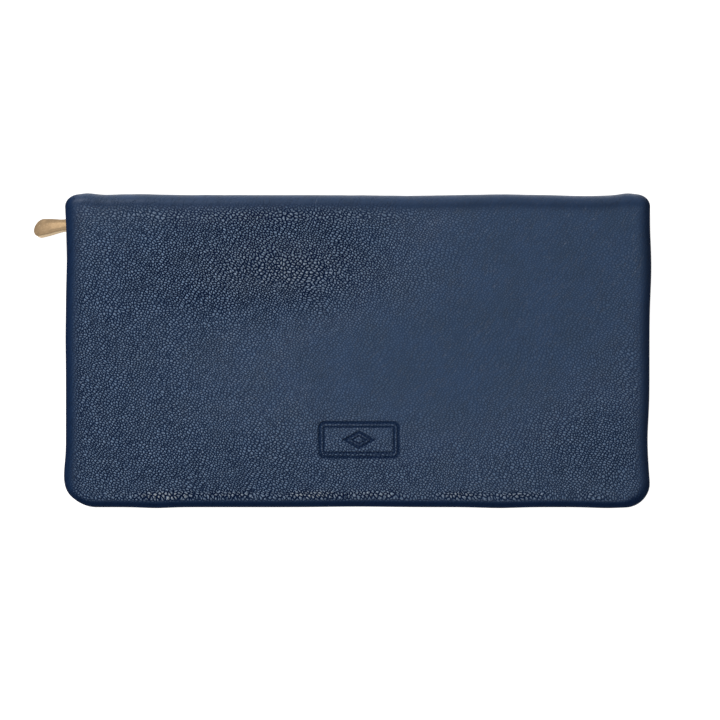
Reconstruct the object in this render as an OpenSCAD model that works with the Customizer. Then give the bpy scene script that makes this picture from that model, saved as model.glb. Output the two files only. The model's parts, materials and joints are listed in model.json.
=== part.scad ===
// Long zip-around wallet, closed and lying on its back cover.
// X runs along its length, +Y points to the spine, +Z is up. The origin is on the resting face,
// below the middle of the covers.

/* [Covers] */
// Length of the closed wallet
wallet_x = 195; // [192:1:205]
// Height of the closed wallet, from the zip mouth to the spine
wallet_y = 104.4; // [103:0.2:112]
// Thickness of the closed wallet
wallet_z = 22; // [22:0.5:26]
// Corner radius at the left of the mouth
left_corner = 10.4; // [9:0.2:12]
// Corner radius at the right of the mouth
right_corner = 8.2; // [8:0.2:12]
// Corner radius at both ends of the spine
spine_corner = 4.2; // [3:0.2:5]
// Radius at which the leather rolls over the edge of a cover
roll_r = 4; // [3:0.2:4.2]

/* [Layers] */
// Thickness of the outer leather
leather = 1.2; // [1:0.1:1.4]
// Thickness of the foam under the leather
foam = 1.4; // [1:0.1:1.6]
// Thickness of the stiffening board
board = 1; // [0.8:0.1:1.2]
// Thickness of the cloth lining
lining = 0.5; // [0.4:0.1:0.6]
// Width of the leather that is turned in around the mouth
hem_width = 4.6; // [4:0.2:4.6]
// Thickness of the slip pocket and of each card slot
ply = 0.6; // [0.5:0.05:0.6]

/* [Spine] */
// Thickness of the spine, from its lining to its outer face
spine_depth = 2.2; // [2:0.1:2.4]
// Distance of the fold lines from the outer faces
fold_inset = 1; // [0.8:0.1:1.2]

/* [Card slots] */
// Number of card tiers on each cover
slot_count = 4; // [4]
// Where the mouth of the first tier lies
first_mouth = -36; // [-38:1:-34]
// Step from one mouth to the next
slot_step = 11; // [9:0.5:11]
// Depth of a card slot
slot_depth = 49; // [47:0.5:49]
// Thickness of the space that a card slides into
card_gap = 0.3; // [0.2:0.05:0.35]

/* [Main zip] */
// Distance from the cover's edge to the outer face of the teeth
zip_inset = 4.3; // [4.1:0.1:4.5]
// Corner radius of the zip, at the outer face of the teeth
zip_corner = 8; // [7:0.2:9]
// Thickness of the tape
tape = 0.5; // [0.4:0.05:0.6]
// Thickness of a tooth, across the tape
tooth_depth = 2.2; // [2:0.1:2.4]
// Length of a tooth, from the tape towards the other row
tooth_length = 2.6; // [2.4:0.1:2.8]
// Width of a tooth, along the tape
tooth_width = 1.2; // [1:0.05:1.3]
// Distance from one tooth to the next
tooth_pitch = 2.4; // [2.3:0.05:2.8]
// Gap between the two rows, which the slider's post runs in
row_gap = 0.8; // [0.7:0.05:1]

/* [Slider and pull] */
// Length of the slider
slider_length = 10.8; // [9:0.2:11]
// Where the spine end of the slider stands when the zip is closed
slider_top = 38.8; // [34:0.2:38.8]
// Distance between the two bars of the link
link_pitch = 6.4; // [6:0.1:6.6]
// Thickness of the link's wire
link_wire = 1.1; // [0.9:0.05:1.1]
// Distance from the pull's eye to the middle of its round tail
pull_length = 15; // [10:0.5:15]
// Radius of the pull's tail
pull_tail_r = 3; // [2.6:0.1:3.2]
// How far the hanging pull slopes down
pull_droop = 33; // [20:1:33]
// How far the pull points away from square, towards the mouth
pull_heading = 4; // [0:1:12]
// How far the pull is rolled about its own length
pull_roll = 25; // [0:1:25]

/* [Coin page] */
// Half of the coin page's length
page_half = 88; // [80:1:88]
// Where the mouth of the coin pocket lies
page_mouth = -25; // [-25:1:-15]
// Gap for banknotes on each side of the coin page
note_gap = 1; // [0.8:0.1:1.2]
// Thickness of the coin pocket's panels
panel = 0.6; // [0.5:0.05:0.7]
// Distance from one coin zip tooth to the next
coin_pitch = 2; // [1.8:0.1:2.4]
// How far the coin slider runs
coin_travel = 144; // [100:2:144]
// Length of the coin slider's pull
coin_pull_length = 11; // [8:0.5:11]

/* [Hidden] */
$fn = 48;
eps = 0.01;
clear = 0.3;
middle_z = wallet_z / 2;
left = -wallet_x / 2;
right = wallet_x / 2;
low = -wallet_y / 2;
high = wallet_y / 2;

// Heights of the layers of the back cover, from its outer face inwards
foam_z = leather;
board_z = foam_z + foam;
lining_z = board_z + board;
lip_z = lining_z + leather;
pocket_z = lining_z + lining;
slot_z = pocket_z + ply;
stack_z = slot_z + slot_count * ply;

// Spine side ends of the pieces
spine_in = high - spine_depth;
cover_end = spine_in - clear;
pad_end = cover_end - 0.5;
inside_end = high - 5.2;
spine_low = fold_inset + 0.6;
core_low = 3.6;
core_inset = 4;
spine_lining = 0.4;
spine_leather_depth = 1.2;

// Main zip: the flange is the part of the tape that is sewn flat on the cover
flange = 2.35;
tape_out = -tooth_depth / 2 + tape / 2;
tape_in = tape_out - tape;
flange_in = tape_in - flange;
teeth_low = middle_z - row_gap / 2 - tooth_length;
zip_end = 45;
side_length = zip_end - low - zip_inset - zip_corner;
row_r = zip_corner - tooth_depth / 2;
arc_length = row_r * PI / 2;
bottom_length = wallet_x - 2 * zip_inset - 2 * zip_corner;
zip_x = right - zip_inset;
row_x = zip_x - tooth_depth / 2;
row_length = 2 * (side_length + arc_length) + bottom_length;
stop_low = 42.6;
stop_length = 2.4;
stop_room = 4.2;
slider_room = 2;
tab_overlap = 1;

// Panels inside the covers stop short of the zip's flange
panel_clear = 0.1;
panel_inset = zip_inset - flange_in + panel_clear;
panel_half = wallet_x / 2 - panel_inset;
panel_corner = zip_corner + flange_in - panel_clear;
slot_border = 1.8;
slot_middle = 1.2;

// Slider: two wings, side flanges and a post. Its bridge stands on the outer wing.
slider_low = slider_top - slider_length;
wing = 0.9;
wing_half = 4.3;
channel_half = 3.3;
wing_round = 1.2;
wing_step = 0.6;
wing_taper = 0.2;
wing_shoulder = 4;
flange_end = 1;
wing_gap = tooth_depth + 2 * clear;
post_width = 0.4;
post_length = 2.6;
tape_slot = 0.9;
wing_face = -zip_x - clear - wing;
bridge_gap = 1.5;
bridge_bar = 0.8;
bridge_half = 1.2;
bridge_leg = 1.2;
bridge_low = slider_low + 2.5;
bridge_top = slider_top - 0.7;
lower_first = zip_end - slider_top + tooth_pitch / 2;
upper_first = zip_end - slider_low + slider_room + tooth_pitch;
link_play = 0.25;
link_x = wing_face - bridge_gap / 2 - 0.2;
link_y = bridge_top - bridge_leg - link_wire / 2 - link_play;
link_height = 5.8;
link_corner = 1.3;
eye_y = link_y + link_pitch;
eye_r = 2.1;
eye_hole_r = 1.45;
eye_thick = 1.2;
tail_thick = 2;
tail_bevel = 0.5;

// Coin page
page_low = stack_z + note_gap;
page_top = wallet_z - page_low;
page_end = inside_end;
page_border = 1.5;
hinge_strip = 0.5;
coin_gap = 0.5;
coin_tape = 0.4;
coin_tape_width = 6.6;
coin_tooth = 1.65;
coin_tooth_depth = 1.8;
coin_tooth_width = 1;
coin_row_end = 80;
coin_stop_width = 2;
coin_rows_y = page_mouth - 1.4;
coin_tape_end = coin_rows_y - 0.2;
coin_slider_length = 8;
coin_slider_x = -coin_travel / 2;
coin_wing = 0.8;
coin_wing_half = 2.7;
coin_inner_half = 1.5;
coin_post = 0.25;
coin_face = coin_rows_y - coin_tooth_depth / 2 - clear - coin_wing;
coin_pivot_y = coin_face - 0.8;
coin_bar_r = 0.5;
coin_bridge_half = 0.6;
coin_bridge_leg = 0.8;
coin_bridge_reach = 1.8;
coin_bridge_bar = 0.7;
coin_pull_half = 2;
coin_window = 2.9;

// Removes what lies outside one rounded corner at the origin
module corner_cutter(r) {
    difference() {
        translate([-1, -1])
            square(r + 1);
        translate([r, r])
            circle(r);
    }
}

// The outline of the closed wallet, drawn in by inset and cut off at y_end
module cover_outline(inset, y_end) {
    half = wallet_x / 2 - inset;
    difference() {
        translate([-half, low + inset])
            square([2 * half, y_end - low - inset]);
        translate([-half, low + inset])
            corner_cutter(left_corner - inset);
        translate([half, low + inset])
            mirror([1, 0])
                corner_cutter(right_corner - inset);
        for (side = [0, 1])
            mirror([side, 0])
                translate([-half, high - inset])
                    mirror([0, 1])
                        corner_cutter(max(spine_corner - inset, 0.5));
    }
}

// Sweeps a profile down the left side, along the mouth and up the right side. The profile's x
// points outwards from the path and its y is the height.
module along_mouth(inset, r_left, r_right, y_end) {
    x_left = left + inset;
    x_right = right - inset;
    y_low = low + inset;
    translate([x_left, y_end, 0])
        rotate([90, 0, 0])
            linear_extrude(y_end - y_low - r_left)
                mirror([1, 0])
                    children();
    translate([x_left + r_left, y_low + r_left, 0])
        rotate([0, 0, 180])
            rotate_extrude(angle = 90)
                translate([r_left, 0])
                    children();
    translate([x_left + r_left, y_low, 0])
        rotate([90, 0, 90])
            linear_extrude(x_right - x_left - r_left - r_right)
                mirror([1, 0])
                    children();
    translate([x_right - r_right, y_low + r_right, 0])
        rotate([0, 0, 270])
            rotate_extrude(angle = 90)
                translate([r_right, 0])
                    children();
    translate([x_right, y_end, 0])
        rotate([90, 0, 0])
            linear_extrude(y_end - y_low - r_right)
                children();
}

// What a rolled edge of radius r takes off a layer whose outer face is at z
module rolled_edge(inset, r, z) {
    along_mouth(inset, left_corner - inset, right_corner - inset, cover_end + 1)
        translate([-r, z])
            difference() {
                translate([0, -1])
                    square([r + 1, r + 1]);
                translate([0, r])
                    circle(r);
            }
}

// A flat layer of the padding, from z to z + thickness, inside the leather
module padding(z, thickness, y_end) {
    difference() {
        translate([0, 0, z])
            linear_extrude(thickness)
                cover_outline(leather, y_end);
        rolled_edge(leather, roll_r - leather, leather);
    }
}

// Turns a piece of the back cover into the same piece of the front cover
module to_front() {
    translate([0, 0, wallet_z])
        mirror([0, 0, 1])
            children();
}

module cover_leather() {
    difference() {
        linear_extrude(lip_z)
            cover_outline(0, cover_end);
        rolled_edge(0, roll_r, 0);
        padding(foam_z, foam + board, cover_end + 1);
        translate([0, 0, lining_z])
            linear_extrude(leather + 1)
                cover_outline(hem_width, cover_end + 1);
    }
}

module cover_lining() {
    translate([0, 0, lining_z])
        linear_extrude(lining)
            cover_outline(hem_width + clear, pad_end);
}

module cover_slip_pocket() {
    y_low = low + panel_inset;
    translate([0, 0, pocket_z])
        linear_extrude(ply)
            difference() {
                translate([-panel_half, y_low])
                    square([2 * panel_half, inside_end - y_low]);
                for (side = [0, 1])
                    mirror([side, 0])
                        translate([-panel_half, y_low])
                            corner_cutter(panel_corner);
            }
}

// One card tier: a full-width ply with a shallow space for a card in each of its two columns
module card_slot(tier) {
    y_mouth = first_mouth + (tier - 1) * slot_step;
    column = panel_half - slot_border - slot_middle;
    difference() {
        translate([-panel_half, y_mouth, slot_z + (tier - 1) * ply])
            cube([2 * panel_half, inside_end - y_mouth, ply]);
        for (x = [slot_middle, -slot_middle - column])
            translate([x, y_mouth - 1, slot_z + (tier - 1) * ply - 1])
                cube([column, slot_depth + 1, card_gap + 1]);
    }
}

module zip_tape() {
    along_mouth(zip_inset, zip_corner, zip_corner, zip_end) {
        union() {
            translate([flange_in, pocket_z])
                square([tape_out - flange_in, tape]);
            translate([tape_in, pocket_z])
                square([tape, teeth_low - pocket_z]);
        }
    }
}

// Place and heading of a tooth that is s along the row, from the left end to the right end
function row_place(s) =
    s < side_length ? [-row_x, zip_end - s, 180] :
    s < side_length + arc_length ? corner_place(-1, (s - side_length) / row_r * 180 / PI) :
    s < side_length + arc_length + bottom_length ?
        [-row_x + row_r + s - side_length - arc_length, low + zip_inset + tooth_depth / 2, 270] :
    s < side_length + 2 * arc_length + bottom_length ?
        corner_place(1, (s - side_length - arc_length - bottom_length) / row_r * 180 / PI) :
    [row_x, low + zip_inset + zip_corner + s - side_length - 2 * arc_length - bottom_length, 0];

// A place on the row's left corner, side -1, or right corner, side 1, turned by angle
function corner_place(side, angle) =
    let (heading = side < 0 ? 180 + angle : 270 + angle)
    [side * (zip_x - zip_corner) + row_r * cos(heading),
     low + zip_inset + zip_corner + row_r * sin(heading), heading];

// A row of teeth from s_first to s_last along the zip, standing on the lower tape
module zip_teeth(s_first, s_last) {
    for (s = [s_first : tooth_pitch : s_last])
        translate([row_place(s)[0], row_place(s)[1], teeth_low])
            rotate([0, 0, row_place(s)[2]])
                translate([-tooth_depth / 2, -tooth_width / 2, 0])
                    cube([tooth_depth, tooth_width, tooth_length]);
}

module zip_stop(side, height) {
    translate([side * row_x - tooth_depth / 2, stop_low, teeth_low])
        cube([tooth_depth, stop_length, height]);
}

// The leather tabs that the ends of a tape are sewn into
module end_tabs() {
    for (side = [-1, 1])
        translate([side * row_x - tooth_depth / 2, zip_end, lip_z])
            cube([tooth_depth, cover_end - clear - zip_end, teeth_low + tab_overlap - lip_z]);
}

// A flat layer of the spine, drawn in by inset at both ends
module spine_layer(y_in, y_out, z_low, inset) {
    translate([0, 0, z_low])
        linear_extrude(wallet_z - 2 * z_low)
            intersection() {
                cover_outline(0, high);
                translate([left + inset, y_in])
                    square([wallet_x - 2 * inset, y_out - y_in]);
            }
}

module coin_panel() {
    translate([-page_half, page_mouth, page_low])
        cube([2 * page_half, page_end - page_mouth, panel]);
}

// The U-shaped gusset that closes the coin pocket on three sides
module coin_border() {
    translate([0, 0, page_low + panel])
        linear_extrude(page_top - page_low - 2 * panel)
            difference() {
                translate([-page_half, page_mouth])
                    square([2 * page_half, page_end - page_mouth]);
                translate([-page_half + page_border, page_mouth - 1])
                    square([2 * (page_half - page_border), page_end - page_mouth + 1 - page_border]);
            }
}

module coin_zip_tape() {
    translate([-page_half + page_border, coin_tape_end, page_low + panel])
        cube([2 * (page_half - page_border), coin_tape_width, coin_tape]);
}

module coin_zip_teeth(first) {
    for (x = [-coin_row_end + first : coin_pitch : coin_row_end])
        translate([x - coin_tooth_width / 2, coin_rows_y - coin_tooth_depth / 2,
                   middle_z - coin_gap / 2 - coin_tooth])
            cube([coin_tooth_width, coin_tooth_depth, coin_tooth]);
}

// A round-wire ring of two bars along Z that are pitch apart in Y, with rounded corners
module wire_ring(pitch, height, corner, wire) {
    for (y = [0, pitch])
        translate([0, y, -height / 2 + corner])
            cylinder(d = wire, h = height - 2 * corner);
    for (z = [-height / 2, height / 2])
        translate([0, corner, z])
            rotate([-90, 0, 0])
                cylinder(d = wire, h = pitch - 2 * corner);
    for (quarter = [[0, pitch - corner, height / 2 - corner], [90, corner, height / 2 - corner],
                    [180, corner, -height / 2 + corner], [270, pitch - corner, -height / 2 + corner]])
        translate([0, quarter[1], quarter[2]])
            rotate([quarter[0], 0, 0])
                rotate([90, 0, 90])
                    rotate_extrude(angle = 90)
                        translate([corner, 0])
                            circle(d = wire);
}

module back_leather() { color("#374659") cover_leather(); }
module back_foam() { color("#c9c4b4") padding(foam_z, foam, pad_end); }
module back_board() { color("#8f8672") padding(board_z, board, pad_end); }
module back_lining() { color("#1f2a3a") cover_lining(); }
module back_slip_pocket() { color("#33415a") cover_slip_pocket(); }
module back_slot(tier) { color("#3a4a60") card_slot(tier); }
module lower_zip_tape() { color("#1c2533") zip_tape(); }
module lower_zip_teeth() {
    color("#b9a077")
        zip_teeth(lower_first, row_length - stop_room);
}
module lower_top_stop() { color("#b9a077") zip_stop(-1, tooth_length); }
module zip_bottom_stop() { color("#b9a077") zip_stop(1, 2 * tooth_length + row_gap - clear); }
module lower_end_tabs() { color("#374659") end_tabs(); }

module spine_leather() { color("#374659") spine_layer(high - spine_leather_depth, high, spine_low, 0); }
module spine_stiffener() {
    color("#8f8672") spine_layer(spine_in + spine_lining, high - spine_leather_depth, core_low, core_inset);
}
module spine_lining_cloth() {
    color("#1f2a3a") spine_layer(spine_in, spine_in + spine_lining, core_low, core_inset);
}

module front_leather() { color("#374659") to_front() cover_leather(); }
module front_foam() { color("#c9c4b4") to_front() padding(foam_z, foam, pad_end); }
module front_board() { color("#8f8672") to_front() padding(board_z, board, pad_end); }
module front_lining() { color("#1f2a3a") to_front() cover_lining(); }
module front_slip_pocket() { color("#33415a") to_front() cover_slip_pocket(); }
module front_slot(tier) { color("#3a4a60") to_front() card_slot(tier); }
module upper_zip_tape() { color("#1c2533") to_front() zip_tape(); }
module upper_zip_teeth() {
    color("#b9a077")
        to_front()
            zip_teeth(upper_first, row_length - stop_room - tooth_pitch / 2);
}
module upper_top_stop() { color("#b9a077") to_front() zip_stop(-1, tooth_length); }
module upper_end_tabs() { color("#374659") to_front() end_tabs(); }

module page_hinge_strip() {
    color("#1f2a3a")
        translate([-page_half + page_border, page_end, middle_z - hinge_strip / 2])
            cube([2 * (page_half - page_border), spine_in - clear - page_end, hinge_strip]);
}
module coin_back_panel() { color("#33415a") coin_panel(); }
module coin_front_panel() { color("#33415a") to_front() coin_panel(); }
module coin_gusset() { color("#1f2a3a") coin_border(); }
module coin_back_tape() { color("#1c2533") coin_zip_tape(); }
module coin_front_tape() { color("#1c2533") to_front() coin_zip_tape(); }
module coin_back_teeth() { color("#b9a077") coin_zip_teeth(coin_pitch); }
module coin_front_teeth() { color("#b9a077") to_front() coin_zip_teeth(coin_pitch * 1.5); }
module coin_stops() {
    color("#b9a077")
        for (side = [-1, 1])
            translate([side * (coin_row_end + coin_pitch) - coin_stop_width / 2,
                       coin_rows_y - coin_tooth_depth / 2, page_low + panel + coin_tape])
                cube([coin_stop_width, coin_tooth_depth, page_top - page_low - 2 * (panel + coin_tape)]);
}

// Half of a wing's outline, from its mouth end to its spine end
wing_side = [
    [slider_low, wing_half - wing_step],
    [slider_low + wing_step, wing_half - wing_taper],
    [slider_top - wing_shoulder, wing_half],
    [slider_top - wing_round, wing_half],
    [slider_top, wing_half - wing_round]
];

// A wing of the slider, wide at the spine end and narrower behind
module slider_wing(x) {
    translate([x, 0, middle_z])
        rotate([90, 0, 90])
            linear_extrude(wing)
                polygon([for (side = [-1, 1])
                            for (point = side < 0 ? wing_side : [for (i = [5 : -1 : 1]) wing_side[i - 1]])
                                [point[0], side * point[1]]]);
}

module zip_slider() {
    color("#c9ad84")
        union() {
            slider_wing(wing_face);
            slider_wing(wing_face + wing + wing_gap);
            for (z = [middle_z + channel_half, middle_z - wing_half + wing_taper])
                for (x = [wing_face + wing - eps, wing_face + wing + (wing_gap + tape_slot) / 2])
                    translate([x, slider_low + flange_end, z])
                        cube([(wing_gap - tape_slot) / 2 + eps,
                              slider_length - flange_end - wing_round,
                              wing_half - channel_half - wing_taper]);
            translate([wing_face + wing - eps, slider_top - post_length - wing_step,
                       middle_z - post_width / 2])
                cube([wing_gap + 2 * eps, post_length, post_width]);
        }
}

// The bridge that the link hangs on: two legs and a bar along the slider
module zip_bridge() {
    color("#c9ad84")
        translate([0, 0, middle_z - bridge_half])
            linear_extrude(2 * bridge_half)
                difference() {
                    translate([wing_face - bridge_gap - bridge_bar, bridge_low])
                        square([bridge_gap + bridge_bar, bridge_top - bridge_low]);
                    translate([wing_face - bridge_gap, bridge_low + bridge_leg])
                        square([bridge_gap + 1, bridge_top - bridge_low - 2 * bridge_leg]);
                }
}

module pull_link() {
    color("#c9ad84")
        translate([link_x, link_y, middle_z])
            wire_ring(link_pitch, link_height, link_corner, link_wire);
}

// The teardrop pull. Its eye is loose on the link's outer bar, so that it hangs down at an angle.
module pull() {
    color("#cbae86")
        translate([link_x, eye_y, middle_z])
            rotate([0, 0, 180 + pull_heading])
                rotate([0, pull_droop, 0])
                    rotate([pull_roll, 0, 0])
                        difference() {
                            hull() {
                                cylinder(r = eye_r, h = eye_thick, center = true, $fn = 32);
                                translate([pull_length, 0, 0])
                                    cylinder(r = pull_tail_r, h = tail_thick - 2 * tail_bevel,
                                             center = true, $fn = 32);
                                translate([pull_length, 0, 0])
                                    cylinder(r = pull_tail_r - tail_bevel, h = tail_thick,
                                             center = true, $fn = 32);
                            }
                            cylinder(r = eye_hole_r, h = tail_thick + 1, center = true, $fn = 32);
                        }
}

module coin_slider() {
    color("#c9ad84")
        union() {
            translate([coin_slider_x - coin_slider_length / 2, coin_face, middle_z - coin_wing_half])
                cube([coin_slider_length, coin_wing, 2 * coin_wing_half]);
            translate([coin_slider_x - coin_slider_length / 2, coin_rows_y + coin_tooth_depth / 2 + clear,
                       middle_z - coin_inner_half])
                cube([coin_slider_length, coin_wing, 2 * coin_inner_half]);
            translate([coin_slider_x - coin_slider_length / 2 + 0.6, coin_face + coin_wing - eps,
                       middle_z - coin_post / 2])
                cube([2, coin_tooth_depth + 2 * clear + 2 * eps, coin_post]);
        }
}

module coin_bridge() {
    reach = coin_face - coin_pivot_y + coin_bar_r + 0.2;
    color("#c9ad84")
        translate([coin_slider_x, coin_face, middle_z - coin_bridge_half])
            linear_extrude(2 * coin_bridge_half)
                difference() {
                    translate([-coin_bridge_reach, -reach - coin_bridge_bar])
                        square([2 * coin_bridge_reach, reach + coin_bridge_bar]);
                    translate([-coin_bridge_reach + coin_bridge_leg, -reach])
                        square([2 * (coin_bridge_reach - coin_bridge_leg), reach + 1]);
                }
}

// The coin slider's pull: a plate whose window goes round the bridge
module coin_pull() {
    color("#cbae86")
        translate([coin_slider_x, coin_pivot_y, middle_z]) {
            translate([0, 0, -coin_pull_half])
                cylinder(r = coin_bar_r, h = 2 * coin_pull_half);
            difference() {
                translate([0, -coin_bar_r, -coin_pull_half])
                    cube([coin_pull_length, 2 * coin_bar_r, 2 * coin_pull_half]);
                translate([coin_bar_r, -1, -coin_pull_half + 0.8])
                    cube([coin_window, 2, 2 * (coin_pull_half - 0.8)]);
                translate([-1, -1, -coin_pull_half + 0.8])
                    cube([1 + coin_bar_r, 2, 2 * (coin_pull_half - 0.8)]);
            }
        }
}

back_leather();
back_foam();
back_board();
back_lining();
back_slip_pocket();
back_slot(1);  // back_slot_1
back_slot(2);  // back_slot_2
back_slot(3);  // back_slot_3
back_slot(4);  // back_slot_4
lower_zip_tape();
lower_zip_teeth();
lower_top_stop();
zip_bottom_stop();
lower_end_tabs();
spine_leather();
spine_stiffener();
spine_lining_cloth();
front_leather();
front_foam();
front_board();
front_lining();
front_slip_pocket();
front_slot(1);  // front_slot_1
front_slot(2);  // front_slot_2
front_slot(3);  // front_slot_3
front_slot(4);  // front_slot_4
upper_zip_tape();
upper_zip_teeth();
upper_top_stop();
upper_end_tabs();
page_hinge_strip();
coin_back_panel();
coin_front_panel();
coin_gusset();
coin_back_tape();
coin_front_tape();
coin_back_teeth();
coin_front_teeth();
coin_stops();
zip_slider();
zip_bridge();
pull_link();
pull();
coin_slider();
coin_bridge();
coin_pull();
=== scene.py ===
"""Looks of a long zip-around wallet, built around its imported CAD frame.

Lengths in the builders are in millimetres in the CAD model's own axes and become metres in
make_mesh(). Names that end in _x, _y or _z are places along those axes.
"""

import json
import math

import bpy
import numpy as np
from mathutils import Matrix, Vector, noise


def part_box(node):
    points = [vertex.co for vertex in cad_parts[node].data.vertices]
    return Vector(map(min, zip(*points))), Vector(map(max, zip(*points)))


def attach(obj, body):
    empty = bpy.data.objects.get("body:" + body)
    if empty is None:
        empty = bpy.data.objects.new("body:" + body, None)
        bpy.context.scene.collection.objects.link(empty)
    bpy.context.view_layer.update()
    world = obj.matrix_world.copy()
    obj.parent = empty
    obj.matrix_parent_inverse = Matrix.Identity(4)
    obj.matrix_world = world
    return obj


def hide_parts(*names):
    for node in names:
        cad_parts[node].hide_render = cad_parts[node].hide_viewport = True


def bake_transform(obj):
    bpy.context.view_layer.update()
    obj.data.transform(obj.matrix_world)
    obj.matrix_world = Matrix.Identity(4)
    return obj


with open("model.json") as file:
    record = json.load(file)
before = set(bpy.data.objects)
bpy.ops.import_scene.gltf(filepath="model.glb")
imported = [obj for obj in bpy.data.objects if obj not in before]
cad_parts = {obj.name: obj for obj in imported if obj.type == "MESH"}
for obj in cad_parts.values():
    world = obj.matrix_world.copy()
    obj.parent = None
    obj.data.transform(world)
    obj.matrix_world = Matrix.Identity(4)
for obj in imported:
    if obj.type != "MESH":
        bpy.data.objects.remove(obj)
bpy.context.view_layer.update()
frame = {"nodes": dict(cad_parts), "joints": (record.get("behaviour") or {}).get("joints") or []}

MM = 0.001
QUARTER = math.pi / 2


def box_mm(node):
    """The box of a CAD node, as two arrays in millimetres."""
    low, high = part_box(node)
    return np.array(low) / MM, np.array(high) / MM


def joint_mm(name):
    """The place of a joint in millimetres."""
    joint = next(j for j in frame["joints"] if j["name"] == name)
    return np.array(joint["pos_m"]) / MM


# ---------------------------------------------------------------- sizes from the frame
COVER_LOW, COVER_HIGH = box_mm("front_leather")
HALF_X = COVER_HIGH[0]
MOUTH_Y = COVER_LOW[1]
TOP_Z = COVER_HIGH[2]
MIDDLE_Z = TOP_Z / 2
LIP = TOP_Z - COVER_LOW[2]
SPINE_Y = box_mm("spine_leather")[1][1]
HEM_WIDTH = 4.6
LEATHER = box_mm("back_foam")[0][2]
LINING_DEPTH = box_mm("back_lining")[0][2]
ROLL = 4.0
BEND = 4.0
LEFT_CORNER = 10.4
RIGHT_CORNER = 8.2


# ---------------------------------------------------------------- mesh helpers
def add_object(name, data):
    """A new object in the scene."""
    made = bpy.data.objects.new(name, data)
    bpy.context.scene.collection.objects.link(made)
    return made


def make_mesh(name, points, faces):
    """An object from points in millimetres and faces of point numbers."""
    mesh = bpy.data.meshes.new(name)
    mesh.from_pydata((np.asarray(points, float) * MM).tolist(), [], faces)
    mesh.validate()
    mesh.polygons.foreach_set("use_smooth", [True] * len(mesh.polygons))
    mesh.update()
    return add_object(name, mesh)


def put(piece, name, values):
    """Stores one number or one vector per vertex for the materials to read."""
    values = np.asarray(values, np.float32)
    kind, key = ("FLOAT", "value") if values.ndim == 1 else ("FLOAT_VECTOR", "vector")
    attribute = piece.data.attributes.new(name, kind, "POINT")
    attribute.data.foreach_set(key, values.ravel())


def smoothstep(low, high, x):
    """An eased step from 0 at low to 1 at high."""
    t = np.clip((np.asarray(x, float) - low) / (high - low), 0, 1)
    return t * t * (3 - 2 * t)


def swells(x, base, bumps):
    """A base value plus soft bumps, each (centre, width, height)."""
    total = np.full(np.shape(x), float(base))
    for centre, width, height in bumps:
        total += height * np.exp(-(((x - centre) / width) ** 2))
    return total


def noise_field(points, scale, seed):
    """Smooth noise of two octaves from about -1 to 1 at each point."""
    offset = Vector((13.7 * seed, -7.1 * seed, 3.3 * seed))
    return np.array([noise.fractal(Vector(p) * scale + offset, 1.0, 2.0, 2) for p in points])


def grid_faces(rows, columns, first=0, flip=False):
    """Quads of a grid of rows by columns whose points are numbered row by row."""
    r, c = np.meshgrid(np.arange(rows - 1), np.arange(columns - 1), indexing="ij")
    a = first + r * columns + c
    quads = np.stack([a, a + 1, a + columns + 1, a + columns], axis=-1).reshape(-1, 4)
    if flip:
        quads = quads[:, ::-1]
    return quads.tolist()


def ring_faces(rings, sides, closed=False, caps=True):
    """Quads between rings of points numbered ring by ring. A closed row of rings meets itself, and
    an open one may have two end caps."""
    faces = []
    for i in range(rings if closed else rings - 1):
        row, above = i * sides, (i + 1) % rings * sides
        for k in range(sides):
            j = (k + 1) % sides
            faces.append([row + k, row + j, above + j, above + k])
    if caps and not closed:
        faces.append(list(range(sides))[::-1])
        faces.append([(rings - 1) * sides + k for k in range(sides)])
    return faces


def run_of(points):
    """The length along a line of flat points, from its first point to each of them."""
    return np.concatenate([[0], np.cumsum(np.hypot(*np.diff(points, axis=0).T))])


def flat_directions(steps):
    """Flat steps as unit directions."""
    return steps / np.hypot(*steps.T)[:, None]


def left_of(steps):
    """Unit vectors at right angles to flat steps, on their left."""
    return flat_directions(np.stack([-steps[:, 1], steps[:, 0]], -1))


# ---------------------------------------------------------------- outer leather
# The leather is one sheet that runs from the mouth over a cover and round to the middle of the
# spine. v is the length along it from the mouth edge, and depth is how far a point lies below it.
FLAT_END = SPINE_Y - MOUTH_Y - BEND
BEND_LENGTH = BEND * QUARTER
SEAM = FLAT_END + BEND_LENGTH + TOP_Z - BEND - MIDDLE_Z
EMBLEM = (0.5, -29.5)
EMBLEM_SIZE = (13.5, 6.2)
EMBLEM_MARGIN = 0.6
FINE_STEP = 0.24


def spaced(low, high, step):
    """Even places from low to high, about step apart."""
    return np.linspace(low, high, max(2, round((high - low) / step) + 1))


def skin_rows():
    """Heights v of the skin's rows: close in the corner and the emblem, and round the bend."""
    corner = LEFT_CORNER - ROLL
    arc = ROLL + corner * (1 - np.cos(np.linspace(0, QUARTER, 15)))
    fine_low = EMBLEM[1] - EMBLEM_SIZE[1] - EMBLEM_MARGIN - MOUTH_Y
    fine_high = EMBLEM[1] + EMBLEM_SIZE[1] + EMBLEM_MARGIN - MOUTH_Y
    stretches = (
        spaced(arc[-1], fine_low, 0.7),
        spaced(fine_low, fine_high, FINE_STEP),
        spaced(fine_high, FLAT_END, 0.7),
        spaced(FLAT_END, FLAT_END + BEND_LENGTH, 0.45),
        spaced(FLAT_END + BEND_LENGTH, SEAM, 0.6),
    )
    return np.concatenate([arc, *(stretch[1:] for stretch in stretches)])


def skin_columns():
    """Shares of the flat width at which the skin's columns stand, close in the emblem."""
    half = HALF_X - ROLL
    fine_low = EMBLEM[0] - EMBLEM_SIZE[0] - EMBLEM_MARGIN
    fine_high = EMBLEM[0] + EMBLEM_SIZE[0] + EMBLEM_MARGIN
    left = spaced(-half, fine_low, 0.8)
    middle = spaced(fine_low, fine_high, FINE_STEP)[1:]
    right = spaced(fine_high, half, 0.8)[1:]
    return (np.concatenate([left, middle, right]) + half) / (2 * half)


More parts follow.
